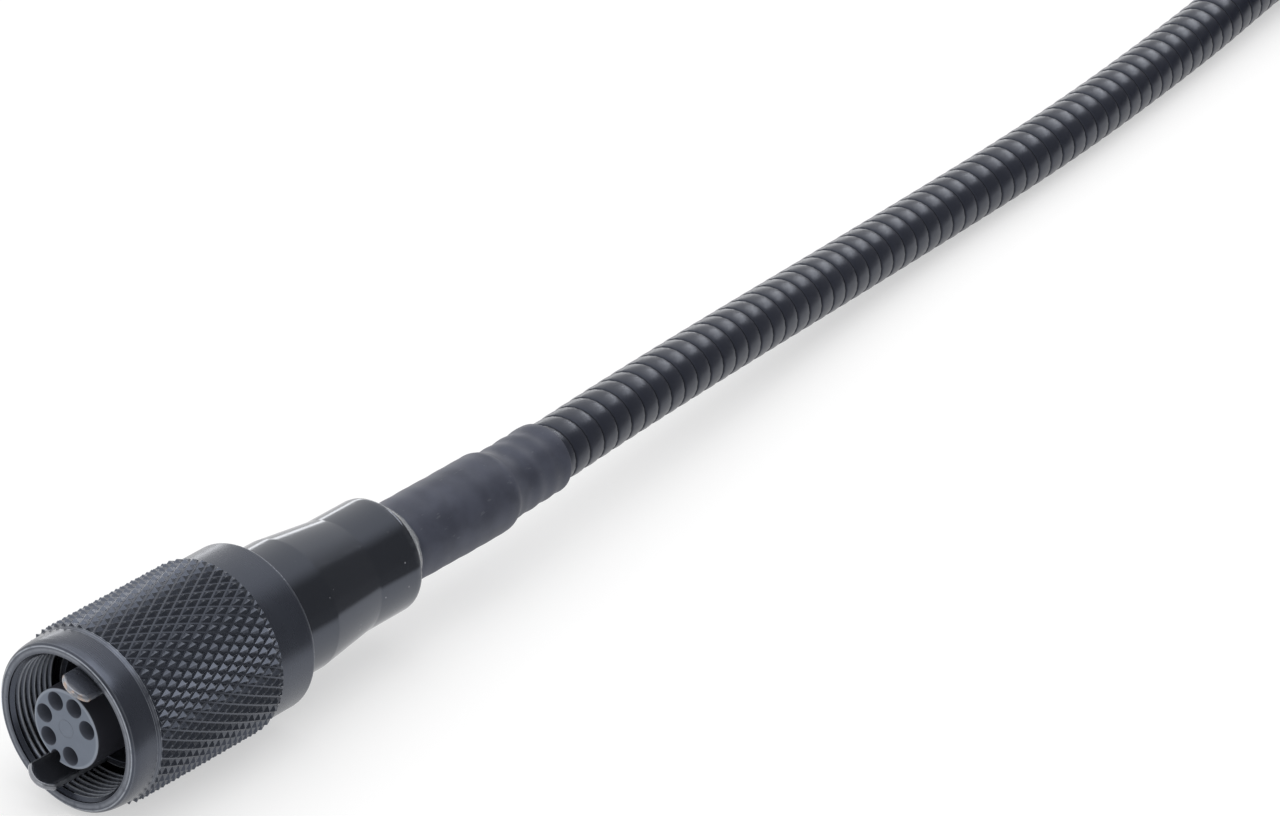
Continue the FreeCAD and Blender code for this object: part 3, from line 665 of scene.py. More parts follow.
def swept(outline, line, sides, ripple=None):
    """Turns a closed outline of (along, radius) in millimetres round a path."""
    built = bmesh.new()
    edge_marks = built.verts.layers.float.new("edge")
    rings = []
    for point, edge in outline:
        ring = []
        for j in range(sides):
            angle = math.tau * j / sides
            lift = ripple(point.x, point.y, angle) if ripple else 0.0
            vert = built.verts.new(line.on(point.x * MM, (point.y + lift) * MM, angle))
            vert[edge_marks] = edge
            ring.append(vert)
        rings.append(closed(ring))
    strips(built, closed(rings))
    return built


def hose_line():
    """The gooseneck's own spline, read back as points."""
    data = bpy.data.curves.new("gooseneck_line", "CURVE")
    data.dimensions = "3D"
    data.resolution_u = 16
    points = list(HOSE_ROUTE)
    step = 360 / COIL_POINTS_A_TURN
    spread = 1 / math.cos(math.pi / COIL_POINTS_A_TURN)
    for i in range(int(COIL_END_DEG / step) + 1):
        swept_deg = i * step
        inward = ease_between(swept_deg, COIL_SHIFT_DEG)
        lifted = ease_between(swept_deg, COIL_RISE_DEG)
        radius = (COIL_OUTER_R + (COIL_INNER_R - COIL_OUTER_R) * inward) * spread
        angle = math.radians(COIL_START_DEG - swept_deg)
        x = COIL_CENTRE[0] + radius * math.cos(angle)
        y = COIL_CENTRE[1] + radius * math.sin(angle)
        points.append((x, y, COIL_LOW_Z + (COIL_TOP_Z - COIL_LOW_Z) * lifted))
    points.append(HOSE_END)
    spline = data.splines.new("NURBS")
    spline.points.add(len(points) - 1)
    for point, place in zip(spline.points, points):
        point.co = (*(c * MM for c in place), 1.0)
    spline.order_u = 3
    spline.use_endpoint_u = True
    holder = bpy.data.objects.new("gooseneck_line", data)
    mesh = bpy.data.meshes.new_from_object(holder)
    read = [v.co.copy() for v in mesh.vertices]
    bpy.data.meshes.remove(mesh)
    bpy.data.objects.remove(holder)
    bpy.data.curves.remove(data)
    return Line(read)


def ease_between(value, ends):
    t = min(max((value - ends[0]) / (ends[1] - ends[0]), 0.0), 1.0)
    return t * t * (3 - 2 * t)


# One turn of the winding: share of the pitch, depth below the crown in millimetres, and how
# far into the groove. At its two hidden ends the hose has one depth all round.
WINDING = [
    (0.0, 0.22, 1.0),
    (0.052, 0.090, 0.45),
    (0.13, 0.050, 0.0),
    (0.28, 0.018, 0.0),
    (0.50, 0.0, 0.0),
    (0.72, 0.018, 0.0),
    (0.87, 0.050, 0.0),
    (0.948, 0.090, 0.45),
]
END_DEPTH = 0.1


def wound_hose(line, sides=24):
    """Skin of a closely wound gooseneck: rows of points that run along the winding's own helix."""
    built = bmesh.new()
    deep = built.verts.layers.float.new("groove")
    total = line.lengths[-1] / MM
    a_turn = len(WINDING)
    turns = math.ceil(total / WINDING_PITCH) + 1
    rows = []
    for row in range(-a_turn, turns * a_turn + 1):
        turn, place = divmod(row, a_turn)
        share, depth, groove = WINDING[place]
        points = []
        for j in range(sides):
            along = (turn + share + j / sides) * WINDING_PITCH
            radius = HOSE_R - (depth if 0.0 < along < total else END_DEPTH)
            along = min(max(along, 0.0), total)
            vert = built.verts.new(line.on(along * MM, radius * MM, math.tau * j / sides))
            vert[deep] = groove
            points.append(vert)
        rows.append(points)
    for row in range(len(rows) - a_turn - 1):
        for j in range(sides):
            k, far = (j + 1, row) if j + 1 < sides else (0, row + a_turn)
            built.faces.new((rows[row][j], rows[far][k], rows[far + 1][k], rows[row + 1][j]))
    return built


def close_ends(built):
    """Drops loose points and fills the open rims."""
    merged(built)
    loose = [v for v in built.verts if not v.link_faces]
    bmesh.ops.delete(built, geom=loose, context="VERTS")
    rims = [e for e in built.edges if e.is_boundary]
    bmesh.ops.holes_fill(built, edges=rims, sides=0)
    return built


def grown_piece(name, sizes, build, finish):
    """A piece of the nut made by a node tree with named sizes, which build gets as wires."""
    tree = bpy.data.node_groups.new(name, "GeometryNodeTree")
    for label, value in sizes.items():
        kind = "NodeSocketInt" if isinstance(value, int) else "NodeSocketFloat"
        tree.interface.new_socket(label, in_out="INPUT", socket_type=kind)
    tree.interface.new_socket("Shape", in_out="OUTPUT", socket_type="NodeSocketGeometry")
    entry = tree.nodes.new("NodeGroupInput")
    wires = {label: Wire(tree, entry.outputs[label]) for label in sizes}
    shape = build(wires)
    shape = shape.node("GeometryNodeSetShadeSmooth", {"Geometry": shape, "Shade Smooth": False})
    way_out = tree.nodes.new("NodeGroupOutput")
    tree.links.new(shape.socket, way_out.inputs["Shape"])
    holder = placed(name, bpy.data.meshes.new(name + "_seed"))
    modifier = holder.modifiers.new(name, "NODES")
    modifier.node_group = tree
    for item in tree.interface.items_tree:
        if item.in_out == "INPUT":
            modifier[item.identifier] = sizes[item.name]
    mesh = finished(holder)
    bpy.data.objects.remove(holder)
    mesh.name = name
    piece_from(mesh, name, "coupling_nut", finish)


def knurl_points(size):
    """Four-sided points set in staggered rows round the nut, pressed flat at the band's ends."""
    count, spacing, radius = size["Points round"], size["Spacing"], size["Base radius"]
    index = count.node("GeometryNodeInputIndex")
    row = ((index + 0.5) / count).math("FLOOR")
    step = math.tau / count
    angle = (index - row * count + 0.5 * (row % 2.0)) * step
    x = size["Front"] + row * spacing * 0.5
    place = x.vector(radius * angle.math("COSINE"), radius * angle.math("SINE"))
    amount = count * ((size["Rear"] - size["Front"]) / spacing * 2 + 2).math("FLOOR")
    dots = place.node("GeometryNodePoints", {"Count": amount, "Position": place})
    shape = {
        "Vertices": 4,
        "Side Segments": 4,
        "Radius Top": KNURL_TIP_SHARE,
        "Radius Bottom": 1.0,
        "Depth": size["Height"],
    }
    tip = place.node("GeometryNodeMeshCone", shape, {"fill_type": "NGON"})
    turn = (angle - math.pi / 2).vector()
    turn = turn.node("FunctionNodeEulerToRotation", {0: turn})
    axial = spacing * 0.5 - size["Groove"]
    across = step * radius * 0.5 - size["Groove"] * 0.5
    scale = axial.vector(across, 1.0)
    parts = {"Points": dots, "Instance": tip, "Rotation": turn, "Scale": scale}
    band = place.node("GeometryNodeInstanceOnPoints", parts)
    band = band.node("GeometryNodeRealizeInstances", {0: band})
    spot_x, spot_y, spot_z = band.node("GeometryNodeInputPosition").xyz()
    ends = {"Value": spot_x, "Min": size["Front"], "Max": size["Rear"]}
    kept = spot_x.node("ShaderNodeClamp", ends)
    kept = kept + (spot_x - kept) * KNURL_END_SQUEEZE
    reach = (spot_y * spot_y + spot_z * spot_z).math("SQRT")
    highest = radius + size["Rear"] - kept + KNURL_END_HEIGHT * MM
    shrink = reach.math("MINIMUM", highest) / reach
    spot = kept.vector(spot_y * shrink, spot_z * shrink)
    return band.node("GeometryNodeSetPosition", {"Geometry": band, "Position": spot})


def thread_ridge(size):
    """The nut's inner thread: one ridge swept along a helix."""
    turns = (size["Rear"] - size["Front"]) / size["Pitch"]
    helix = {
        "Resolution": 72,
        "Rotations": turns,
        "Start Radius": size["Major radius"],
        "End Radius": size["Major radius"],
        "Height": size["Rear"] - size["Front"],
    }
    path = turns.node("GeometryNodeCurveSpiral", helix)
    path = path.node("GeometryNodeSetCurveNormal", {"Curve": path}, {"mode": "Z_UP"})
    passed = path.node("GeometryNodeSplineParameter") * turns
    fade = passed.math("MINIMUM", turns - passed).ramp(0.0, THREAD_FADE_TURNS)
    path = path.node("GeometryNodeSetCurveRadius", {"Curve": path, "Radius": 0.1 + 0.9 * fade})
    # Half of the section's height is sunk in the nut's wall.
    section = {
        "Height": size["Depth"] * 2,
        "Bottom Width": size["Pitch"] * THREAD_SUNK_WIDTH,
        "Top Width": size["Pitch"] * THREAD_CREST_WIDTH,
        "Offset": 0.0,
    }
    ridge = path.node("GeometryNodeCurvePrimitiveQuadrilateral", section, {"mode": "TRAPEZOID"})
    inwards = {"Geometry": ridge, "Rotation": (0, 0, -math.pi / 2)}
    ridge = ridge.node("GeometryNodeTransform", inwards)
    swept_ridge = {"Curve": path, "Profile Curve": ridge, "Fill Caps": True}
    made = path.node("GeometryNodeCurveToMesh", swept_ridge)
    lie = {"Geometry": made, "Rotation": (0, math.pi / 2, 0)}
    made = made.node("GeometryNodeTransform", lie)
    forward = {"Geometry": made, "Translation": size["Front"].vector()}
    return made.node("GeometryNodeTransform", forward)


def tongue_plan(inset, corner_steps=6, tip_steps=8):
    """Half outline of a flat tongue, (along, across): straight side, corner, arc at its tip."""
    half = TONGUE_WIDTH / 2 - inset
    end_r = TONGUE_END_R - inset
    corner = TONGUE_CORNER_R - inset
    arc_x = TONGUE_TIP_X + TONGUE_END_R
    corner_x = arc_x - math.sqrt((end_r - corner) ** 2 - (half - corner) ** 2)
    meet = math.atan2(half - corner, arc_x - corner_x)
    side = [(TONGUE_ROOT_X, half), (TONGUE_MIDDLE_X, half)]
    for step in range(corner_steps + 1):
        turn = math.pi / 2 + (meet - math.pi / 2) * step / corner_steps
        side.append((corner_x - corner * math.cos(turn), half - corner + corner * math.sin(turn)))
    for step in range(1, tip_steps + 1):
        turn = meet * (1 - step / tip_steps)
        side.append((arc_x - end_r * math.cos(turn), end_r * math.sin(turn)))
    return side


def tongue_mesh(degrees, steps=6, spread=8):
    """A tongue: the flat plan with eased edges, bent to the shroud's wall, closed all round."""
    built = bmesh.new()
    edge_marks = built.verts.layers.float.new("edge")
    wall = TONGUE_OUTER_R - TONGUE_INNER_R
    middle_r = (TONGUE_OUTER_R + TONGUE_INNER_R) / 2

    def vert_at(along, across, lift, edge):
        angle = math.radians(degrees) + across / middle_r
        radius = middle_r + lift
        spot = Vector((along, radius * math.cos(angle), radius * math.sin(angle)))
        vert = built.verts.new(spot * MM)
        vert[edge_marks] = edge
        return vert

    rim = []
    for step in range(steps + 1):
        turn = math.pi * step / steps
        side = tongue_plan(TONGUE_EDGE * (1 - math.sin(turn)))
        lift = wall / 2 * math.cos(turn)
        edge = 1.0 if 0 < step < steps else 0.3
        whole = side + [(along, -across) for along, across in side[-2::-1]]
        rim.append([vert_at(along, across, lift, edge) for along, across in whole])
    strips(built, rim)
    shares = [1 - 2 * k / spread for k in range(spread + 1)]
    for lift in (wall / 2, -wall / 2):
        rows = []
        for along, across in tongue_plan(TONGUE_EDGE):
            rows.append([vert_at(along, across * share, lift, 0.0) for share in shares])
        strips(built, rows)
    return mesh_from(close_ends(built), "tongue")


# A face that looks this squarely along the plug's axis is shaded flat.
FLAT_FACE = 0.999


def combined(solid, others, operation="DIFFERENCE"):
    """The solid with closed shapes cut out of it, or joined to it with their edge marks, wear and
    painted highlight.
    """
    holder = placed("cut_solid", solid)
    tools = []
    for other in others:
        tool = placed("cutter", other)
        cut = holder.modifiers.new("cut", "BOOLEAN")
        cut.operation = operation
        cut.solver = "EXACT"
        cut.object = tool
        tools.append(tool)
    mesh = finished(holder)
    for used in [holder] + tools:
        bpy.data.objects.remove(used)
    edge_marks = {}
    for other in others:
        if "edge" in other.attributes:
            for vert, wear_and_highlight in zip(other.vertices, other.attributes["edge"].data):
                edge_marks[vert.co.to_tuple(6)] = wear_and_highlight.value
    for vert in mesh.vertices:
        wear_and_highlight = edge_marks.get(vert.co.to_tuple(6), 0.0)
        if wear_and_highlight:
            mesh.attributes["edge"].data[vert.index].value = wear_and_highlight
    for face in mesh.polygons:
        face.use_smooth = abs(face.normal.x) < FLAT_FACE
    return mesh


def insert_mesh():
    """Moulded insert: chamfered face, countersunk contact holes and a keyway."""
    outline = eased([
        (0.0, 0.0, 0),
        (0.0, INSERT_R, 0.22, 1.0),
        (9.0, INSERT_R, 0),
        (9.0, 6.25, 0.1),
        (12.4, 6.25, 0.1),
        (12.4, 5.3, 0),
        (14.8, 5.3, 0.1),
        (14.8, 0.0, 0),
    ])
    solid = mesh_from(swept(outline, PLUG_AXIS, 96), "insert_solid")
    cutters = []
    for degrees in CONTACT_DEGS:
        angle = math.radians(degrees)
        y, z = (CONTACT_CIRCLE_R * f(angle) * MM for f in (math.cos, math.sin))
        axis = Line([(-MM, y, z), (20 * MM, y, z)])
        hole = eased([
            (0.9, 0.0, 0),
            (0.9, COUNTERSINK_R, 0),
            (1.08, CONTACT_HOLE_R, 0),
            (17.0, CONTACT_HOLE_R, 0),
            (17.0, 0.0, 0),
        ])
        cutters.append(mesh_from(swept(hole, axis, 40), "contact_hole"))
    return combined(solid, cutters + [keyway_cutter()])


def keyway_cutter(steps=12):
    """A round-floored bar that cuts the insert's keyway."""
    built = bmesh.new()
    angle = math.radians(KEYWAY_DEG)
    out = Vector((0, math.cos(angle), math.sin(angle)))
    aside = Vector((0, -math.sin(angle), math.cos(angle)))
    floor_r = INSERT_R - KEYWAY_DEPTH + KEYWAY_R
    rim = []
    for step in range(steps + 1):
        turn = math.pi * step / steps
        in_r = floor_r - KEYWAY_R * math.sin(turn)
        rim.append(out * in_r + aside * (KEYWAY_R * math.cos(turn)))
    rim.append(out * (INSERT_R + 1) - aside * KEYWAY_R)
    rim.append(out * (INSERT_R + 1) + aside * KEYWAY_R)
    ends = []
    for x in KEYWAY_ENDS_X:
        ends.append([built.verts.new((p + Vector((x, 0, 0))) * MM) for p in rim])
    strips(built, [closed(end) for end in ends])
    for end in ends:
        built.faces.new(end)
    return mesh_from(built, "keyway")


def strap_mesh(steps=5):
    """Flat strap wrapped round the turns, its end lapped over on top."""
    built = bmesh.new()
    uv = built.loops.layers.uv.new("strap")
    wrap = [Vector(corner) for corner in TIE_WRAP]
    path = [wrap[0]]
    for before, here, after in zip(wrap, wrap[1:], wrap[2:]):
        start = here + (before - here).normalized() * TIE_CORNER
        end = here + (after - here).normalized() * TIE_CORNER
        path += [rounded(start, here, end, k / steps) for k in range(steps + 1)]
    path.append(wrap[-1])
    angle = math.radians(COIL_START_DEG - TIE_DEG)
    out = Vector((math.cos(angle), math.sin(angle), 0))
    aside = Vector((-math.sin(angle), math.cos(angle), 0))
    centre = Vector((*COIL_CENTRE, 0))
    across = [-1.0, -0.97, -0.85, -0.4, 0.0, 0.4, 0.85, 0.97, 1.0]
    rows = []
    length = 0.0
    for i, here in enumerate(path):
        before = path[max(i - 1, 0)]
        after = path[min(i + 1, len(path) - 1)]
        way = (after - before).normalized()
        outwards = Vector((-way.y, way.x))
        length += (here - before).length
        ring = []
        for share in across:
            beside = share * TIE_WIDTH / 2
            thin = TIE_THICKNESS - TIE_EDGE_THINNING * max(0.0, (abs(share) - 0.9) / 0.1)
            for lift in (0.0, thin):
                flat = here + outwards * lift
                spot = centre + out * flat.x + aside * beside + Vector((0, 0, flat.y))
                ring.append((built.verts.new(spot * MM), length, beside))
        rows.append(ring)
    lines = list(range(0, 2 * len(across), 2)) + list(range(2 * len(across) - 1, 0, -2))
    for one, two in zip(rows, rows[1:]):
        for a, b in zip(lines, lines[1:] + lines[:1]):
            corners = (one[a], one[b], two[b], two[a])
            face = built.faces.new([c[0] for c in corners])
            for loop, corner in zip(face.loops, corners):
                loop[uv].uv = corner[1:]
    for ring in (rows[0], rows[-1]):
        built.faces.new([ring[a][0] for a in lines])
    return mesh_from(built, "coil_strap")


def photo_camera():
    """Camera at the photo's own angle."""
    data = bpy.data.cameras.new("photo_camera")
    data.sensor_fit = "HORIZONTAL"
    data.sensor_width = SENSOR_WIDTH
    data.lens = LENS_LENGTH
    data.clip_start = 0.01
    camera = placed("photo_camera", data)
    right = Vector(CAMERA_RIGHT).normalized()
    back = -Vector(CAMERA_WAY).normalized()
    up = back.cross(right).normalized()
    turn = Matrix((right, up, back)).transposed().to_4x4()
    camera.matrix_world = Matrix.Translation(CAMERA_PLACE) @ turn
    bpy.context.scene.camera = camera


def soft_box(name, place, aim, width, depth, radiance):
    """An oblong studio lamp; radiance 1 shows as white in a mirror."""
    data = bpy.data.lights.new(name, "AREA")
    data.shape = "RECTANGLE"
    data.size = width
    data.size_y = depth
    data.energy = radiance * math.pi * width * depth
    lamp = placed(name, data)
    place = Vector(place)
    lamp.location = place
    lamp.rotation_euler = (Vector(aim) - place).to_track_quat("-Z", "Y").to_euler()
    lamp.visible_camera = False


def ray_kinds(tree):
    """Wires that are 1 for what the eye, a mirror or clear glass sees."""
    path = tree.nodes.new("ShaderNodeLightPath")
    kinds = ("Is Camera Ray", "Is Glossy Ray", "Is Transmission Ray")
    return [Wire(tree, path.outputs[kind]) for kind in kinds]


def show_white(floor):
    """The eye sees a white floor with the shadow, softened; mirrors see it dim in front."""
    tree = floor.tree
    eye, mirrored, through = ray_kinds(tree)
    x, y, _ = floor.place.xyz()
    # The dim part begins at a line in front of the plug, which follows the hose's bend.
    edge = x.ramp(0.058, 0.085) * 0.016 + x.ramp(0.075, 0.235, False) * 0.018 - 0.026
    in_front = (edge - y).ramp(-0.003, 0.016)
    white = eye.node("ShaderNodeEmission", {"Color": WHITE})
    dim = eye.node("ShaderNodeEmission", {"Color": (0.25, 0.25, 0.25, 1.0)})
    glow = eye.node("ShaderNodeMixShader", {0: in_front * mirrored, 1: white, 2: dim})
    share = eye * 0.5 + mirrored * (0.6 + 0.4 * in_front) + through
    lit = Wire(tree, floor.shader.outputs["BSDF"])
    both = lit.node("ShaderNodeMixShader", {0: share, 1: lit, 2: glow})
    tree.links.new(both.socket, tree.nodes["Material Output"].inputs["Surface"])


def studio():
    """White room with a dim side towards the viewer, pale floor and five soft lamps."""
    world = bpy.data.worlds.new("studio")
    bpy.context.scene.world = world
    world.use_nodes = True
    tree = world.node_tree
    eye, mirrored, through = ray_kinds(tree)
    seen = eye + through
    toward = tree.nodes.new("ShaderNodeTexCoord").outputs["Generated"]
    _, toward_y, toward_z = Wire(tree, toward).xyz()
    dim_side = (toward_y * -1.0 - toward_z * 2.5).ramp(-1.85, -1.0)
    dim_side = dim_side * (1 - toward_y.ramp(0.08, 0.35))
    direct = (seen + mirrored).math("MINIMUM", 1.0)
    strength = seen + mirrored * (1 - 0.78 * dim_side) + (1 - direct) * 0.8
    room = tree.nodes["Background"]
    room.inputs["Color"].default_value = WHITE
    tree.links.new(strength.math("MINIMUM", 1.0).socket, room.inputs["Strength"])
    soft_box("top_box", (1.02, 0.08, 0.5), (1.02, 0.0, 0.0), 0.20, 0.54, 8.0)
    soft_box("key_box", (0.09, -0.19, 0.66), (0.01, 0.0, 0.0), 0.36, 0.44, 1.55)
    soft_box("front_box", (-0.78, -0.05, 0.14), (0.0, 0.0, 0.0), 0.36, 0.24, 3.0)
    soft_box("back_box", (0.0, 0.5, 1.3), (0.05, 0.0, 0.0), 1.4, 1.4, 0.8)
    soft_box("rim_box", (1.0, 1.0, 0.07), (0.05, 0.0, 0.0), 0.7, 0.16, 2.5)
    pale = Finish("pale_floor", {"Specular IOR Level": 0.1, "Roughness": 0.9})
    pale.paint(pale.noise(300.0), (0.93, 0.93, 0.93), (0.95, 0.95, 0.95))
    built = bmesh.new()
    middle = Matrix.Translation((0, 0, (FLOOR_Z - FLOOR_GAP) * MM))
    bmesh.ops.create_circle(built, cap_ends=True, segments=64, radius=FLOOR_R * MM, matrix=middle)
    mesh = bpy.data.meshes.new("floor")
    built.to_mesh(mesh)
    built.free()
    show_white(pale)
    mesh.materials.append(pale.material)
    floor = placed("floor", mesh)


def sleeve_ripple(along, radius, angle):
    """Faint ripple of the winding under the sleeve, stronger where it lies on the hose."""
    if radius < SLEEVE_RIPPLE_FROM_R:
        return 0.0
    narrow = 0.9 if along > SLEEVE_STEP else 0.25
    turn = math.sin(math.tau * along / WINDING_PITCH - angle)
    slow = math.sin(0.9 * along + 2 * angle) * math.sin(0.37 * along - angle + 1.0)
    return narrow * SLEEVE_RIPPLE * turn + SLEEVE_WAVE * slow


def bead_ripple(along, radius, angle):
    """Uneven hand-laid bead."""
    if radius < BEAD_RIPPLE_FROM_R:
        return 0.0
    wave = math.sin(3 * angle + 0.7) + 0.6 * math.sin(7 * angle + 2.0)
    wave += 0.4 * math.sin(13 * angle)
    return BEAD_RIPPLE * wave - BEAD_SINK


def swept_piece(
    name,
    corners,
    finish,
    slot,
    stands_for=(),
    line=PLUG_AXIS,
    *,
    sides,
    body="probe",
    longest=60.0,
    ripple=None,
):
    """A piece turned from its outline's corners."""
    outline = divided(eased(corners), longest)
    mesh = mesh_from(swept(outline, line, sides, ripple), name)
    return piece_from(mesh, name, body, finish, stands_for)


photo_camera()
studio()
bpy.context.scene.view_settings.view_transform = "Standard"

# Gooseneck and its coil.
path = hose_line()
gooseneck = piece_from(
    mesh_from(close_ends(wound_hose(path)), "gooseneck"),
    "gooseneck",
    "probe",
    hose_black(),
    ("gooseneck_run", "gooseneck_coil"),
)
strap = piece_from(strap_mesh(), "coil_strap", "probe", tie_fabric(), ("coil_tie",))

# Camera head.
HEAD_BLACK = black_anodised("head_black", 0.26, (0.014, 0.0145, 0.016), (0.022, 0.0225, 0.025))
way = Vector((math.cos(math.radians(HEAD_DEG)), math.sin(math.radians(HEAD_DEG)), 0))
head_axis = Line([Vector(HEAD_REAR) * MM, (Vector(HEAD_REAR) + way * HEAD_LENGTH) * MM])
HEAD_LOOK = {"finish": HEAD_BLACK, "slot": "black_anodised", "line": head_axis, "sides": 96}
HEAD_COLLAR_OUTLINE = [
    (0.0, 3.57, 0.05),
    (0.0, HEAD_R, 0.15),
    (5.2, HEAD_R, 0.06),
    (5.4, 3.66, 0.04),
    (5.7, 3.66, 0.04),
    (5.9, HEAD_R, 0.06),
    (HEAD_FERRULE_LENGTH, HEAD_R, 0.12),
    (HEAD_FERRULE_LENGTH, 3.22, 0.05),
    (10.0, 3.22, 0.1),
    (10.0, 1.23, 0.05),
    (6.0, 1.23, 0.05),
    (6.0, 3.57, 0.05),
]
head_ferrule = swept_piece(
    "head_collar", HEAD_COLLAR_OUTLINE, stands_for=("head_ferrule",), **HEAD_LOOK
)
HEAD_TUBE_OUTLINE = [
    (HEAD_FERRULE_LENGTH, 3.25, 0.05),
    (HEAD_FERRULE_LENGTH, HEAD_R, 0.12),
    (HEAD_LENGTH, HEAD_R, 0.35, 0.5),
    (HEAD_LENGTH, 2.85, 0.12),
    (33.65, 2.85, 0.03),
    (33.65, 3.25, 0.03),
]
head_barrel = swept_piece(
    "head_tube", HEAD_TUBE_OUTLINE, stands_for=("head_barrel",), **HEAD_LOOK
)
HEAD_NODES = ["head_window", "window_seal", "lens_barrel", "front_lens", "led_board"]
HEAD_NODES += ["led_1", "led_2", "led_3", "led_4", "sensor_board", "head_cable"]

# Coupling nut.
# A corner's fourth number is its pale edge mark; on the front face, ring and ledge these are
# mostly painted highlight lines, elsewhere wear.
NUT_OUTLINE = [
    (NUT_FRONT_X, 8.78, 0.06, 1.6),
    (NUT_FRONT_X + 0.24, 9.05, 0.05, 0.3),
    (NUT_FRONT_X + 0.75, 9.19, 0.25),
    (NUT_FRONT_X + 1.60, RIM_R, 0.40),
    (KNURL_FRONT_X - LEDGE_LENGTH, RIM_R, 0.03, 0.6),
    (KNURL_FRONT_X - LEDGE_LENGTH / 2, RIM_R + 0.08, 0.0, 0.5),
    (KNURL_FRONT_X - 0.03, RIM_R + 0.15, 0.03, 1.6),
    (KNURL_FRONT_X + 0.05, KNURL_BASE_R, 0.02),
    (KNURL_REAR_X, KNURL_BASE_R, 0.03),
    (KNURL_REAR_X, COLLAR_R, 0.06),
    (NUT_REAR_X, COLLAR_R, 0.20, 0.2),
    (NUT_REAR_X, 7.4, 0.25),
    (12.3, 7.4, 0.1),
    (12.3, 8.2, 0.05),
    (9.75, 8.2, 0.03),
    (9.75, 8.7, 0.03),
    (8.85, 8.7, 0.03),
    (8.85, 8.2, 0.03),
    (6.5, 8.2, 0.05),
    (6.5, THREAD_MAJOR_R, 0.05),
    (0.80, THREAD_MAJOR_R, 0.02),
    (0.70, 7.62, 0.03, 0.3),
    (0.30, 7.97, 0.02),
    (NUT_FRONT_X + 0.08, 7.98, 0.03, 0.4),
    (NUT_FRONT_X + 0.04, 8.40, 0.0, 0.8),
]
swept_piece(
    "nut_turning",
    NUT_OUTLINE,
    black_anodised("nut_black", 0.27, (0.010, 0.0112, 0.0152), (0.0165, 0.018, 0.024)),
    "black_anodised",
    ("coupling_nut",),
    body="coupling_nut",
    sides=192,
)
grown_piece(
    "nut_knurl",
    {
        "Front": KNURL_FRONT_X * MM,
        "Rear": KNURL_REAR_X * MM,
        "Base radius": KNURL_BASE_R * MM,
        "Height": (KNURL_R - KNURL_BASE_R) * MM,
        "Points round": KNURL_POINTS_ROUND,
        "Spacing": KNURL_SPACING * MM,
        "Groove": KNURL_GROOVE_WIDTH * MM,
    },
    knurl_points,
    knurl_black(),
)
grown_piece(
    "nut_thread",
    {
        "Front": THREAD_FRONT_X * MM,
        "Rear": THREAD_REAR_X * MM,
        "Major radius": (THREAD_MAJOR_R + THREAD_SINK) * MM,
        "Depth": THREAD_DEPTH * MM,
        "Pitch": THREAD_PITCH * MM,
    },
    thread_ridge,
    thread_black(),
)

# Plug body with its tongues, and the insert.
PLUG_OUTLINE = [
    (SHROUD_FRONT_X, 6.3, 0.10),
    (SHROUD_FRONT_X, 7.05, 0.10, 0.9),
    (10.0, 7.05, 0.05),
    (10.0, 7.9, 0.1),
    (12.0, 7.9, 0.1),
    (12.0, 7.05, 0.05),
    (13.0, 7.05, 0.05),
    (13.0, 6.5, 0.05),
    (21.0, 6.5, 0.1),
    (21.0, 5.35, 0.1),
    (12.4, 5.35, 0.05),
    (12.4, 6.3, 0.05),
]
tongues = [tongue_mesh(degrees) for degrees in TONGUE_DEGS]
plug = mesh_from(swept(eased(PLUG_OUTLINE), PLUG_AXIS, 128), "plug_shroud")
plug = combined(plug, tongues, "UNION")
piece_from(plug, "plug_shroud", "probe", plug_plating(), ("plug_body",))
insert = insert_mesh()
piece_from(insert, "insert_face", "probe", insert_plastic(), ("contact_insert",))
# The mould mark ring is painted darker than the insert, as painted shade along it.
swept_piece(
    "insert_mould_mark",
    [(-0.02, 0.93, 0.02), (-0.02, 0.99, 0.02), (0.02, 0.99, 0.0), (0.02, 0.93, 0.0)],
    wire_cover("mould_mark", (0.06, 0.068, 0.085), (0.13, 0.15, 0.19)),
    "insert_plastic",
    sides=48,
)

# Rear shell, bead and sleeve.
SHELL_OUTLINE = [
    (SHELL_FRONT_X, SHELL_FRONT_R, 0.15),
    (CONE_FRONT_X, SHELL_FRONT_R, 0.10),
    (CONE_REAR_X, SHELL_REAR_R, 0.10),
    (SHELL_REAR_X, SHELL_REAR_R, 0.60, 0.5),
    (SHELL_REAR_X, 4.2, 0.1),
    (43.3, 4.2, 0.05),
    (43.3, 5.2, 0.05),
    (21.2, 5.2, 0.05),
    (21.2, 6.55, 0.05),
    (SHELL_FRONT_X, 6.55, 0.1),
]
swept_piece(
    "shell_turning", SHELL_OUTLINE, shell_gloss(), "black_anodised", ("rear_shell",), sides=160
)
BEAD_OUTLINE = [
    (BEAD_FRONT_X, 4.58, 0.02),
    (BEAD_FRONT_X, 5.85, 0.12),
    (46.85, 5.70, 0.3),
    (47.55, 5.25, 0.35),
    (BEAD_REAR_X, 4.68, 0.10),
    (BEAD_REAR_X, 4.57, 0.0),
]
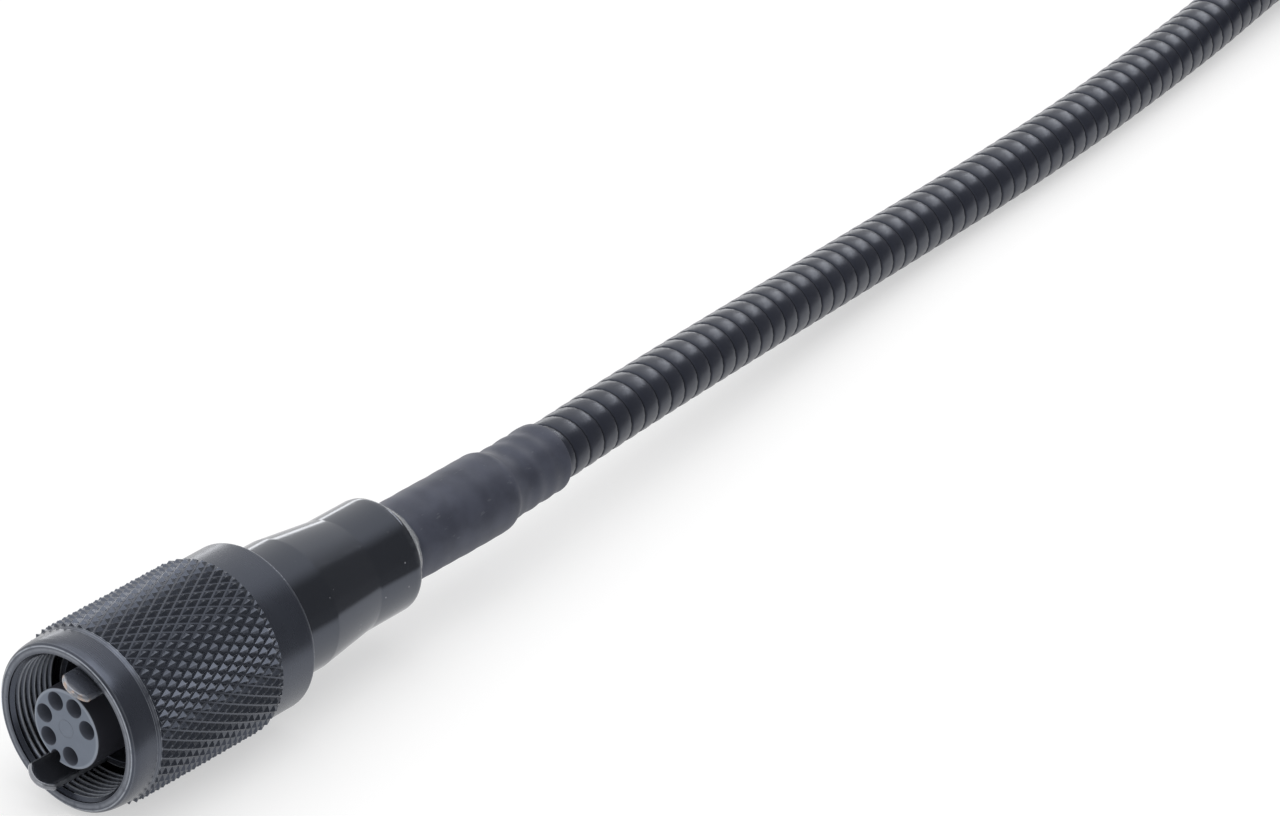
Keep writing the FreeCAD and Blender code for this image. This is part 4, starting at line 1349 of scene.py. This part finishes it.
swept_piece(
    "glue_bead",
    BEAD_OUTLINE,
    clear_adhesive(),
    "clear_adhesive",
    ("adhesive_bead",),
    sides=144,
    ripple=bead_ripple,
)
SLEEVE_OUTLINE = [
    (SLEEVE_FRONT, 4.52, 0.12),
    (8.0, 4.55, 0.0),
    (18.0, 4.58, 0.0),
    (20.0, 4.56, 0.30),
    (21.3, 4.02, 0.55),
    (27.5, 3.98, 0.0),
    (SLEEVE_REAR, 4.02, 0.16),
    (SLEEVE_REAR, 3.58, 0.06),
    (21.0, 3.58, 0.0),
    (19.6, 4.17, 0.0),
    (SLEEVE_FRONT, 4.17, 0.0),
]
swept_piece(
    "shrink_tube",
    SLEEVE_OUTLINE,
    shrink_sleeve(),
    "shrink_sleeve",
    ("heat_shrink_sleeve",),
    path,
    sides=96,
    longest=0.35,
    ripple=sleeve_ripple,
)

# CAD pieces that keep their own shape.
WIRE_GREY = wire_cover("wire_grey", (0.16, 0.16, 0.17), (0.24, 0.24, 0.25))
CABLE_BLACK = wire_cover("cable_black", (0.018, 0.018, 0.020), (0.030, 0.030, 0.033))
BOARD = circuit_board()
LED = led_face()
LENS_BLACK = black_anodised("lens_black", 0.5, (0.008, 0.008, 0.009), (0.014, 0.014, 0.015))
CONTACT = contact_metal()
KEPT = {
    "nut_retaining_ring": bright_steel("ring_steel"),
    "hose_ferrule": bright_steel("ferrule_steel"),
    "signal_cable": CABLE_BLACK,
    "head_cable": CABLE_BLACK,
    "head_window": clear_glass("window_glass", (0.93, 0.96, 0.96)),
    "front_lens": clear_glass("lens_glass", (0.80, 0.74, 0.92)),
    "window_seal": seal_rubber(),
    "lens_barrel": LENS_BLACK,
    "led_board": BOARD,
    "sensor_board": BOARD,
}
for number in range(1, 7):
    KEPT[f"contact_{number}"] = CONTACT
    KEPT[f"contact_wire_{number}"] = WIRE_GREY
for number in range(1, 5):
    KEPT[f"led_{number}"] = LED
for node, finish in KEPT.items():
    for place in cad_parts[node].material_slots:
        place.material = finish
